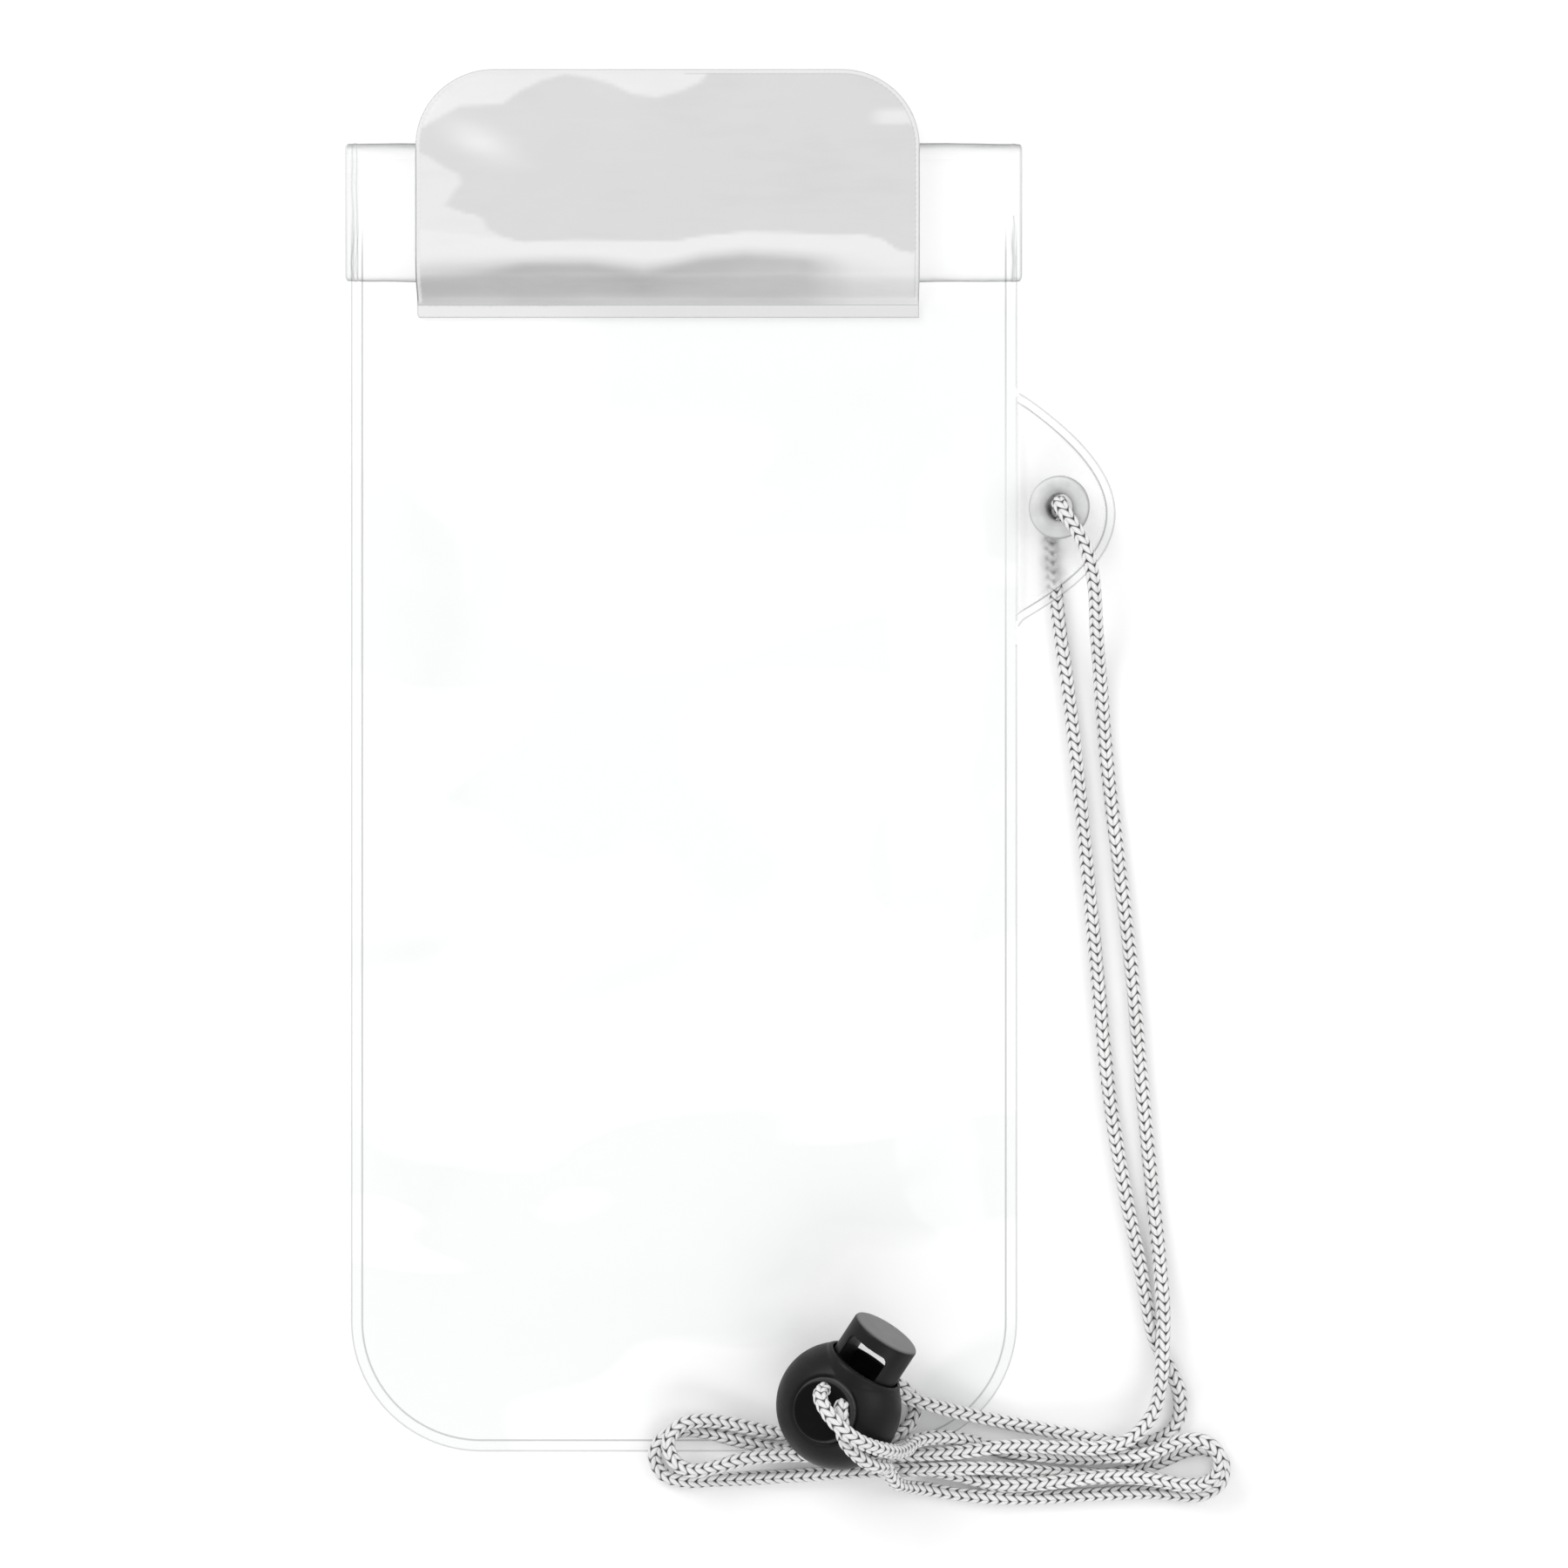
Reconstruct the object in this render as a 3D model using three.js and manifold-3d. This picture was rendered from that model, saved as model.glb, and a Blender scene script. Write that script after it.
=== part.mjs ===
// Waterproof phone pouch, lying on its back with its neck cord laid beside it.
// Two clear film sheets are welded round their rim, and the mouth is rolled down and held by a flap.
// A tab at the side carries an eyelet, a looped cord runs through it, and a sprung lock grips the cord.
// Millimetres. +Y runs from the bottom of the bag to its mouth, and +Z up from the surface under it.
// The origin is the middle of the bag's back face.

import * as THREE from 'three';
import { mergeVertices } from 'three/addons/utils/BufferGeometryUtils.js';
import Module from 'manifold-3d';

const wasm = await Module();
wasm.setup();

// Bag
const film = 0.3;
const bagWidth = 110;
const bagLength = 216;
const bagCorner = 21.5;
const weldWidth = 1.9;
const clearHeight = 5.5;
const shoulderSide = 24;
const shoulderBottom = 44;
const shoulderTop = 34;
const shoulderRings = 9;
const neckCorner = 9;
const plateauCorner = 16;
const cornerSteps = 7;

// Rolled mouth
const rollWidth = 111.4;
const rollDepth = 23.4;
const rollGap = 0.4;
const lowerFoldGap = 1.6;
const innerTurnShort = 2.5;
const foldSteps = 10;

// Closure flap and its two patches
const flapWidth = 82.7;
const flapOffset = -2.6;
const flapFilm = 0.4;
const flapWeld = 2.1;
const flapBelowRoll = 3.4;
const flapAboveRoll = 11.5;
const flapCorner = 12.7;
const flapRise = 7.5;
const flapDroop = 0.9;
const patchWidth = 62;
const patchHeight = 14;
const loopThickness = 0.7;
const hookThickness = 0.8;
const patchGap = 0.3;

// Lanyard tab
const tabReach = 15.8;
const tabUp = 19.4;
const tabDown = 21.1;
const tabHeight = 47.6;
const tabFold = 1.9;
const tabRise = 2.0;
const tabSlope = 0.36;
const tabSpread = 0.02;

// Eyelet
const eyeletInset = 7.1;
const eyeletRadius = 5.2;
const eyeletHole = 2.25;
const eyeletBarrel = 2.9;
const eyeletFlange = 1.2;
const washerRadius = 4.6;
const washerThickness = 0.6;
const eyeletPlay = 0.15;

// Cord
const cordDiameter = 2.5;
const cordGap = 0.3;
const strandStep = 6.5;
const lockStrandStep = 3;
const loopsHeight = 6;

// Cord lock
const lockRadius = 10.4;
const lockHalfThickness = 7.3;
const lockHole = 5.0;
const lockRim = 5.9;
const collarRadius = 6.9;
const collarTop = 8.3;
const buttonRadius = 5.8;
const buttonTop = 14.8;
const buttonCap = 2.4;
const buttonTravel = 4;
const windowWidth = 7.2;
const windowCorner = 1;
const gripHeight = 1.85;
const gripBlock = 3;
const gripDepth = 3.4;
const cupRadius = 3.6;
const cupWall = 0.6;
const cupLength = 3.2;
const runningGap = 0.3;
const springWire = 0.6;
const springTurns = 5;
const lockCentre = [25.4, -98.9, 12.8];
const lockTurn = THREE.MathUtils.degToRad(20.5);
const lockLean = 32.5;
const roundSteps = 32;

const bagSide = bagWidth / 2;
const bagBottom = -bagLength / 2;
const bagTop = bagLength / 2;
const rollBottom = bagTop - rollDepth;

// The double film of the roll: layer heights are those of its middle.
const innerLayer = 3 * film + rollGap;
const lowerFoldRadius = lowerFoldGap / 2 + film;
const outerLayer = innerLayer + 2 * lowerFoldRadius;
const upperFoldRadius = (outerLayer - film) / 2;
const upperFoldStart = bagTop - upperFoldRadius - film;
const rollTop = outerLayer + film;

const flapWeldTop = rollBottom - flapBelowRoll;
const flapWeldBottom = flapWeldTop - flapWeld;
const neckStart = flapWeldBottom - weldWidth;
const hookBottom = rollTop + loopThickness + patchGap;
const flapLevel = hookBottom + hookThickness;

function material(colour, roughness, metalness = 0, opacity = 1) {
  return new THREE.MeshStandardMaterial({ color: colour, roughness, metalness, opacity, transparent: opacity < 1 });
}

const clearFilm = material(0xf4f7f6, 0.12, 0, 0.35);
const whiteVinyl = material(0xdcdcdc, 0.25);
const whiteTape = material(0xe6e6e4, 0.9);
const eyeletPlastic = material(0xd2d2d0, 0.35);
const greyCord = material(0xc4c4c2, 0.6);
const blackPlastic = material(0x1c1c1d, 0.45);
const springSteel = material(0xb9bcc0, 0.3, 1);

function toSolid(geometry) {
  const bare = geometry.clone();
  bare.deleteAttribute('normal');
  bare.deleteAttribute('uv');
  const merged = mergeVertices(bare, 1e-5);
  const vertProperties = new Float32Array(merged.attributes.position.array);
  const triVerts = new Uint32Array(merged.index.array);
  return new wasm.Manifold(new wasm.Mesh({ numProp: 3, vertProperties, triVerts }));
}

function toGeometry(solid) {
  const mesh = solid.getMesh();
  const geometry = new THREE.BufferGeometry();
  geometry.setAttribute('position', new THREE.BufferAttribute(new Float32Array(mesh.vertProperties), 3));
  geometry.setIndex(new THREE.BufferAttribute(new Uint32Array(mesh.triVerts), 1));
  geometry.computeVertexNormals();
  return geometry;
}

function plate(shape, low, high, curveSegments = 16) {
  const geometry = new THREE.ExtrudeGeometry(shape, { depth: high - low, bevelEnabled: false, curveSegments });
  return geometry.translate(0, 0, low);
}

// A bar of the given (y, z) section, centred at x and running along X.
function barAlongX(section, width, x = 0) {
  const geometry = new THREE.ExtrudeGeometry(section, { depth: width, bevelEnabled: false });
  const turn = new THREE.Matrix4().makeBasis(
    new THREE.Vector3(0, 1, 0),
    new THREE.Vector3(0, 0, 1),
    new THREE.Vector3(1, 0, 0),
  );
  return geometry.applyMatrix4(turn).translate(x - width / 2, 0, 0);
}

// The outline of a strip of even thickness whose middle follows the points.
function stripSection(points, thickness) {
  const left = [];
  const right = [];
  points.forEach((point, i) => {
    const before = points[Math.max(i - 1, 0)];
    const after = points[Math.min(i + 1, points.length - 1)];
    const along = after.clone().sub(before).normalize();
    const across = new THREE.Vector2(-along.y, along.x).multiplyScalar(thickness / 2);
    left.push(point.clone().add(across));
    right.unshift(point.clone().sub(across));
  });
  return new THREE.Shape([...left, ...right]);
}

function arcPoints(x, y, radius, from, to, steps) {
  return Array.from({ length: steps + 1 }, (_, i) => {
    const angle = from + ((to - from) * i) / steps;
    return new THREE.Vector2(x + radius * Math.cos(angle), y + radius * Math.sin(angle));
  });
}

// Bag outline from the welded bottom edge up to the given height.
function bagShape(top) {
  const shape = new THREE.Shape();
  const cornerX = bagSide - bagCorner;
  const cornerY = bagBottom + bagCorner;
  shape.moveTo(bagSide, top);
  shape.lineTo(-bagSide, top);
  shape.absarc(-cornerX, cornerY, bagCorner, Math.PI, 1.5 * Math.PI, false);
  shape.absarc(cornerX, cornerY, bagCorner, 1.5 * Math.PI, 2 * Math.PI, false);
  return shape;
}

// Lanyard tab: an ear that leaves the bag's side in one sweep and returns with a small fillet.
function tabShape() {
  const tip = bagSide + tabReach;
  const middle = tabHeight;
  const shape = new THREE.Shape();
  shape.moveTo(bagSide - weldWidth, middle + tabUp);
  shape.lineTo(bagSide - weldWidth, middle - tabDown);
  shape.lineTo(bagSide, middle - tabDown);
  shape.quadraticCurveTo(bagSide, middle - 0.9 * tabDown, bagSide + 0.09 * tabReach, middle - 0.86 * tabDown);
  shape.bezierCurveTo(
    bagSide + 0.52 * tabReach, middle - 0.67 * tabDown,
    tip, middle - 0.42 * tabDown,
    tip, middle - 0.05 * tabDown,
  );
  shape.bezierCurveTo(
    tip, middle + 0.36 * tabUp,
    bagSide + 0.43 * tabReach, middle + 0.75 * tabUp,
    bagSide, middle + tabUp,
  );
  return shape;
}

// The tab folds up at the bag's side and again at the eyelet's edge, because the cord runs under it.
function tabLift(x, slope) {
  const outward = x - bagSide;
  const folded = THREE.MathUtils.clamp(outward / tabFold, 0, 1) * tabRise;
  return folded + Math.max(outward - tabFold, 0) * slope;
}

function liftTab(sheet, slope) {
  const [tab, bag] = sheet.splitByPlane([1, 0, 0], bagSide);
  const [ear, fold] = tab.splitByPlane([1, 0, 0], bagSide + tabFold);
  return [ear, fold].reduce((whole, piece) => {
    const geometry = toGeometry(piece);
    const position = geometry.attributes.position;
    for (let i = 0; i < position.count; i += 1) {
      position.setZ(i, position.getZ(i) + tabLift(position.getX(i), slope));
    }
    return whole.add(toSolid(geometry));
  }, bag);
}

const eyeletPlace = new THREE.Matrix4().compose(
  new THREE.Vector3(bagSide + eyeletInset, tabHeight, tabLift(bagSide + eyeletInset, tabSlope) + film),
  new THREE.Quaternion().setFromAxisAngle(new THREE.Vector3(0, 1, 0), -Math.atan(tabSlope)),
  new THREE.Vector3(1, 1, 1),
);

function eyeletDrill() {
  const drill = new THREE.CylinderGeometry(eyeletBarrel + eyeletPlay, eyeletBarrel + eyeletPlay, 10, roundSteps);
  return toSolid(drill.rotateX(Math.PI / 2).applyMatrix4(eyeletPlace));
}

// Back sheet: one flat film that folds over at the top and carries the roll's turns.
// In the roll both films lie pressed together, so its section is two films thick.
function backSheet() {
  const lowerFoldY = rollBottom + lowerFoldRadius + film;
  const turns = [
    new THREE.Vector2(upperFoldStart, film),
    ...arcPoints(upperFoldStart, film + upperFoldRadius, upperFoldRadius, -Math.PI / 2, Math.PI / 2, foldSteps),
    ...arcPoints(lowerFoldY, outerLayer - lowerFoldRadius, lowerFoldRadius, Math.PI / 2, 1.5 * Math.PI, foldSteps),
    new THREE.Vector2(upperFoldStart - innerTurnShort, innerLayer),
  ];
  turns[0].x -= film;
  const roll = toSolid(barAlongX(stripSection(turns, 2 * film), rollWidth));
  const flat = toSolid(plate(bagShape(upperFoldStart), 0, film)).add(toSolid(plate(tabShape(), 0, film)));
  return toGeometry(liftTab(flat, tabSlope).subtract(eyeletDrill()).add(roll));
}

// One level line of the puffed panel, a rounded rectangle drawn in from the weld.
function panelRing(share, z, outward = 0) {
  const side = bagSide - weldWidth - shoulderSide * share + outward;
  const low = bagBottom + weldWidth + shoulderBottom * share - outward;
  const high = neckStart - shoulderTop * share + outward;
  const lowCorner = THREE.MathUtils.lerp(bagCorner - weldWidth, plateauCorner, share) + outward;
  const highCorner = THREE.MathUtils.lerp(neckCorner, plateauCorner, share) + outward;
  const quarter = Math.PI / 2;
  return [
    ...arcPoints(side - lowCorner, low + lowCorner, lowCorner, -quarter, 0, cornerSteps),
    ...arcPoints(side - highCorner, high - highCorner, highCorner, 0, quarter, cornerSteps),
    ...arcPoints(highCorner - side, high - highCorner, highCorner, quarter, 2 * quarter, cornerSteps),
    ...arcPoints(lowCorner - side, low + lowCorner, lowCorner, 2 * quarter, 3 * quarter, cornerSteps),
  ].map((point) => new THREE.Vector3(point.x, point.y, z));
}

// The puffed panel: film thick, level with the weld at its rim and lifted by trapped air inside.
function puffedPanel() {
  const under = [panelRing(0, film, weldWidth / 4)];
  for (let i = 0; i <= shoulderRings; i += 1) {
    const share = i / shoulderRings;
    under.push(panelRing(share, film + clearHeight * THREE.MathUtils.smoothstep(share, 0, 1)));
  }
  const over = under.map((ring) => ring.map((point) => point.clone().setZ(point.z + film)));
  const rings = [...under.reverse(), ...over];
  const count = rings[0].length;
  const positions = rings.flat().flatMap((point) => point.toArray());
  const index = [];
  for (let r = 0; r < rings.length - 1; r += 1) {
    for (let i = 0; i < count; i += 1) {
      const next = (i + 1) % count;
      const [a, b] = [r * count + i, r * count + next];
      index.push(a, b, a + count, b, b + count, a + count);
    }
  }
  const last = (rings.length - 1) * count;
  for (let i = 1; i < count - 1; i += 1) {
    index.push(0, i + 1, i, last, last + i, last + i + 1);
  }
  const geometry = new THREE.BufferGeometry();
  geometry.setAttribute('position', new THREE.Float32BufferAttribute(positions, 3));
  geometry.setIndex(index);
  return geometry;
}

// Front sheet: a flat welded rim, the puffed panel inside it and the tab's upper ply.
function frontSheet() {
  const rim = bagShape(upperFoldStart - film);
  rim.holes.push(new THREE.Path(panelRing(0, film).map((point) => new THREE.Vector2(point.x, point.y))));
  const flat = toSolid(plate(rim, film, 2 * film)).add(toSolid(plate(tabShape(), film, 2 * film)));
  return toGeometry(liftTab(flat, tabSlope + tabSpread).subtract(eyeletDrill()).add(toSolid(puffedPanel())));
}

// Closure flap: welded below the roll, up over it, and free beyond the top fold.
function closureFlap() {
  const low = 2 * film + flapFilm / 2;
  const high = flapLevel + flapFilm / 2;
  const flapTop = bagTop + flapAboveRoll;
  const rise = new THREE.CubicBezierCurve(
    new THREE.Vector2(flapWeldTop, low),
    new THREE.Vector2(flapWeldTop + 0.4 * flapRise, low),
    new THREE.Vector2(flapWeldTop + 0.3 * flapRise, high),
    new THREE.Vector2(flapWeldTop + flapRise, high),
  );
  const overhang = new THREE.QuadraticBezierCurve(
    new THREE.Vector2(bagTop - upperFoldRadius, high),
    new THREE.Vector2(bagTop + flapAboveRoll / 2, high),
    new THREE.Vector2(flapTop + 1, high - flapDroop),
  );
  const middle = [new THREE.Vector2(flapWeldBottom, low), ...rise.getPoints(foldSteps), ...overhang.getPoints(6)];
  const strip = toSolid(barAlongX(stripSection(middle, flapFilm), flapWidth, flapOffset));

  const side = flapWidth / 2;
  const outline = new THREE.Shape();
  outline.moveTo(flapOffset + side + 1, flapWeldBottom - 1);
  outline.lineTo(flapOffset + side + 1, flapWeldTop);
  outline.lineTo(flapOffset + side, flapWeldTop);
  outline.absarc(flapOffset + side - flapCorner, flapTop - flapCorner, flapCorner, 0, Math.PI / 2, false);
  outline.absarc(flapOffset - side + flapCorner, flapTop - flapCorner, flapCorner, Math.PI / 2, Math.PI, false);
  outline.lineTo(flapOffset - side, flapWeldTop);
  outline.lineTo(flapOffset - side - 1, flapWeldTop);
  outline.lineTo(flapOffset - side - 1, flapWeldBottom - 1);
  return toGeometry(strip.intersect(toSolid(plate(outline, -1, high + 2, 10))));
}

// Hook and loop: one patch is welded to the roll, the other to the flap above it.
function patch(low, thickness) {
  const middle = (flapWeldTop + flapRise + upperFoldStart) / 2;
  const geometry = new THREE.BoxGeometry(patchWidth, patchHeight, thickness);
  return geometry.translate(flapOffset, middle, low + thickness / 2);
}

// Eyelet in its own frame: z = 0 where the two plies of the tab meet.
const plyStack = film + tabSpread * eyeletInset + eyeletPlay;

function revolved(profile) {
  return new THREE.LatheGeometry([...profile, profile[0].clone()], roundSteps).rotateX(Math.PI / 2);
}

function eyeletFront() {
  const seat = plyStack + eyeletPlay;
  const bend = eyeletFlange / 2;
  const foot = -film - 2 * eyeletPlay - washerThickness;
  return revolved([
    new THREE.Vector2(eyeletHole, foot),
    new THREE.Vector2(eyeletBarrel, foot),
    new THREE.Vector2(eyeletBarrel, seat),
    ...arcPoints(eyeletRadius - bend, seat + bend, bend, -Math.PI / 2, Math.PI / 2, 6),
    ...arcPoints(eyeletHole + bend, seat + bend, bend, Math.PI / 2, Math.PI, 4),
  ]);
}

function eyeletWasher() {
  const seat = -film - eyeletPlay;
  const inner = eyeletBarrel + eyeletPlay;
  return revolved([
    new THREE.Vector2(inner, seat - washerThickness),
    new THREE.Vector2(washerRadius - washerThickness / 2, seat - washerThickness),
    new THREE.Vector2(washerRadius, seat - washerThickness / 2),
    new THREE.Vector2(washerRadius, seat),
    new THREE.Vector2(inner, seat),
  ]);
}

// Routes of the cord's middle line, from the eyelet down to the laid loops.
const frontStrand = [
  [61.6, 48.3, 7.6], [63.3, 46.4, 8.4], [65.4, 43.3, 8.7], [66.7, 38.8, 8.4], [67.4, 33.5, 7.0],
  [67.8, 27.8, 4.7], [68.4, 21.6, 2.6], [69.0, 14.4, 1.5], [69.8, 5.0, 1.3], [71.7, -10.8, 1.3],
  [73.6, -26.6, 1.3], [74.7, -38.1, 1.3], [75.7, -49.6, 1.3], [77.4, -66.9, 1.4], [78.4, -76.9, 2.2],
  [78.9, -85.6, 3.6], [78.7, -91.3, 3.9], [78.4, -96.3, 3.9], [77.6, -100.5, 4.1],
];
const backStrand = [
  [61.8, 49.0, 1.4], [61.3, 45.6, 1.3], [61.0, 39.5, 1.3], [61.3, 33.8, 1.3], [62.0, 27.3, 1.3],
  [63.5, 16.5, 1.3], [64.8, 5.0, 1.3], [66.4, -10.8, 1.3], [67.9, -26.6, 1.3], [69.0, -38.1, 1.3],
  [70.2, -49.6, 1.3], [71.7, -58.2, 1.3], [73.1, -66.9, 1.3], [74.8, -75.1, 1.3], [76.3, -83.3, 1.3],
  [77.7, -89.9, 1.3], [79.9, -94.6, 1.3], [81.5, -99.5, 1.3], [82.0, -104.2, 1.4],
];

// The two strands through the lock, from behind it, over its front face and down to the loops.
const lockStrandLeft = [
  [27.7, -95.3, 8.4], [26.5, -95.3, 11.6], [24.6, -95.4, 16.8], [23.3, -95.5, 20.1], [22.6, -96.2, 23.2],
  [23.4, -98.2, 25.4], [25.5, -100.7, 26.3], [28.4, -103, 25.2], [31.4, -104.7, 22.4], [34, -105.6, 18.4],
  [35.8, -106.1, 14.4], [36.9, -106.5, 10.6], [37.2, -107, 7.3],
];
const lockStrandRight = [
  [30.1, -97, 9.2], [28.8, -97, 12.5], [27, -97, 17.3], [25.8, -97.5, 20.4], [25.4, -98.3, 22.2],
  [25.8, -100.6, 23.3], [26.4, -103.3, 22.7], [28.8, -106.3, 21.1], [31.4, -108.1, 18.8], [33, -108.9, 15.7],
  [33.9, -109.8, 11.4], [34.4, -110.6, 7.3],
];

// The laid loops as seen from above, round their outside.
const loopsOutline = [
  [-5.6, -110.0], [-3.4, -105.8], [2.1, -103.8], [9.3, -102.8], [16.5, -103.4], [23.7, -101.8], [27.3, -97.1],
  [30.1, -94.8], [34.4, -95.1], [39.5, -97.9], [48.1, -100.4], [59.6, -102.7], [68.5, -105.7], [72.5, -104.3],
  [75.7, -102.0], [78.2, -102.2], [80.4, -104.9], [84.3, -105.4], [89.4, -106.6], [91.4, -110.4], [90.0, -114.2],
  [79.7, -115.2], [65.4, -116.0], [48.1, -116.0], [35.2, -114.9], [28.7, -113.4], [16.5, -113.6], [2.1, -114.0],
  [-4.0, -113.4],
];

function strand(route, step) {
  const path = new THREE.CatmullRomCurve3(route.map((point) => new THREE.Vector3(...point)), false, 'centripetal');
  const steps = Math.round(path.getLength() / step);
  const section = new THREE.Shape(arcPoints(0, 0, cordDiameter / 2, 0, 1.75 * Math.PI, 7));
  return new THREE.ExtrudeGeometry(section, { steps, extrudePath: path });
}

// Lock frame: +Z along the hole towards its front, +Y along the button, outward.
const lockGroup = new THREE.Group();
lockGroup.position.set(...lockCentre);

function setLockFrame() {
  const hole = new THREE.Vector3(-Math.sin(lockTurn), 0, Math.cos(lockTurn));
  const lean = THREE.MathUtils.degToRad(lockLean);
  const button = new THREE.Vector3(Math.sin(lean), Math.cos(lean), Math.sin(lean) * Math.tan(lockTurn)).normalize();
  const across = new THREE.Vector3().crossVectors(button, hole);
  lockGroup.setRotationFromMatrix(new THREE.Matrix4().makeBasis(across, button, hole));
  lockGroup.updateMatrixWorld(true);
}

setLockFrame();

// Rounded ring of the lock, grown outward by the given amount.
function lockRing(grow = 0) {
  const half = lockHalfThickness + grow;
  const middle = lockRadius - lockHalfThickness;
  const rimAngle = Math.acos((lockRim - middle) / lockHalfThickness);
  const outer = arcPoints(middle, 0, half, -rimAngle, rimAngle, 18);
  const rim = outer[outer.length - 1];
  const throat = rim.y - 1.6 * (lockRim - lockHole);
  const flare = (sign) => new THREE.QuadraticBezierCurve(
    new THREE.Vector2(rim.x, sign * rim.y),
    new THREE.Vector2(lockHole, sign * rim.y),
    new THREE.Vector2(lockHole, sign * throat),
  ).getPoints(4);
  return revolved([...outer, ...flare(1).slice(1), ...flare(-1).reverse().slice(0, -1)]);
}

function rodAlongY(radius, low, high) {
  return new THREE.CylinderGeometry(radius, radius, high - low, roundSteps).translate(0, (low + high) / 2, 0);
}

const gripBottom = gripHeight - gripBlock;
const boreFloor = gripBottom - buttonTravel - runningGap;
const cupBottom = gripBottom - cupLength;
const chamberFloor = cupBottom - buttonTravel - runningGap;

// Lock body: the ring, a collar for the button, the bore down to the grip and a narrower spring chamber.
function lockBody() {
  const hole = rodAlongY(lockHole, -lockHalfThickness, lockHalfThickness).rotateX(Math.PI / 2);
  const bore = rodAlongY(buttonRadius + runningGap, boreFloor, lockRadius + lockHalfThickness);
  const chamber = rodAlongY(cupRadius + runningGap, chamberFloor, 0);
  const body = toSolid(lockRing()).add(toSolid(rodAlongY(collarRadius, 0, collarTop)));
  return toGeometry(body.subtract(toSolid(hole)).subtract(toSolid(bore)).subtract(toSolid(chamber)));
}

// Button: a capped rod with a tall window for the cord, a grip below it and a cup for the spring.
function lockButton() {
  const edge = 0.4;
  const rod = new THREE.LatheGeometry([
    new THREE.Vector2(0, gripBottom),
    new THREE.Vector2(buttonRadius, gripBottom),
    new THREE.Vector2(buttonRadius, buttonTop - edge),
    new THREE.Vector2(buttonRadius - edge, buttonTop),
    new THREE.Vector2(0, buttonTop),
  ], roundSteps);
  const [side, low, high] = [windowWidth / 2, gripHeight, buttonTop - buttonCap];
  const opening = new THREE.Shape();
  opening.absarc(side - windowCorner, low + windowCorner, windowCorner, -Math.PI / 2, 0, false);
  opening.absarc(side - windowCorner, high - windowCorner, windowCorner, 0, Math.PI / 2, false);
  opening.absarc(windowCorner - side, high - windowCorner, windowCorner, Math.PI / 2, Math.PI, false);
  opening.absarc(windowCorner - side, low + windowCorner, windowCorner, Math.PI, 1.5 * Math.PI, false);
  const window = plate(opening, -2 * buttonRadius, 2 * buttonRadius, 4);
  const cup = rodAlongY(cupRadius, cupBottom, gripHeight - gripBlock / 2);
  const pocket = rodAlongY(cupRadius - cupWall, cupBottom - 1, springTop);
  // Below the window the rod's front and back are cut away, so that the grip lies deep in the hole.
  const front = new THREE.BoxGeometry(4 * buttonRadius, 2 * gripBlock, buttonRadius);
  front.translate(0, gripHeight - gripBlock, gripDepth + buttonRadius / 2);
  const back = front.clone().translate(0, 0, -2 * gripDepth - buttonRadius);
  const shank = toSolid(rod).subtract(toSolid(window)).subtract(toSolid(front)).subtract(toSolid(back));
  return toGeometry(shank.add(toSolid(cup)).subtract(toSolid(pocket)));
}

// Return spring between the pocket in the button and the floor of the chamber.
const springTop = gripBottom + gripBlock / 2;

class Helix extends THREE.Curve {
  getPoint(t) {
    const angle = 2 * Math.PI * springTurns * t;
    const radius = cupRadius - cupWall - runningGap - springWire / 2;
    const low = chamberFloor + runningGap + springWire / 2;
    const high = springTop - runningGap - springWire / 2;
    return new THREE.Vector3(
      radius * Math.cos(angle),
      THREE.MathUtils.lerp(low, high, t),
      radius * Math.sin(angle),
    );
  }
}

function lockSpring() {
  const wire = new THREE.Shape(arcPoints(0, 0, springWire / 2, 0, (5 / 3) * Math.PI, 5));
  return new THREE.ExtrudeGeometry(wire, { steps: springTurns * 12, extrudePath: new Helix() });
}

// The loops lie over the bag's bottom edge and under the lock.
function cordLoops() {
  const outline = new THREE.Shape();
  const points = loopsOutline.map((point) => new THREE.Vector2(...point));
  outline.moveTo(points[0].x, points[0].y);
  outline.splineThru([...points.slice(1), points[0]]);
  const bagRoom = new THREE.Shape();
  const grown = bagCorner + cordGap;
  bagRoom.moveTo(bagSide + cordGap, 0);
  bagRoom.lineTo(-bagSide - cordGap, 0);
  bagRoom.absarc(bagCorner - bagSide, bagBottom + bagCorner, grown, Math.PI, 1.5 * Math.PI, false);
  bagRoom.absarc(bagSide - bagCorner, bagBottom + bagCorner, grown, 1.5 * Math.PI, 2 * Math.PI, false);
  const lockRoom = toSolid(lockRing(cordGap).applyMatrix4(lockGroup.matrixWorld));
  const lockCore = rodAlongY(lockRim, -lockHalfThickness, lockHalfThickness).rotateX(Math.PI / 2);
  return toGeometry(
    toSolid(plate(outline, 0, loopsHeight, 2))
      .subtract(toSolid(plate(bagRoom, -1, 2 * film + 4 * cordGap)))
      .subtract(lockRoom)
      .subtract(toSolid(lockCore.applyMatrix4(lockGroup.matrixWorld))),
  );
}

const pouch = new THREE.Group();
pouch.name = 'waterproof_phone_pouch';

function place(parent, name, geometry, finish) {
  const mesh = new THREE.Mesh(geometry, finish);
  mesh.name = name;
  parent.add(mesh);
}

place(pouch, 'back_sheet', backSheet(), clearFilm);
place(pouch, 'front_sheet', frontSheet(), clearFilm);
place(pouch, 'closure_flap', closureFlap(), whiteVinyl);
place(pouch, 'loop_patch', patch(rollTop, loopThickness), whiteTape);
place(pouch, 'hook_patch', patch(hookBottom, hookThickness), whiteTape);

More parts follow.
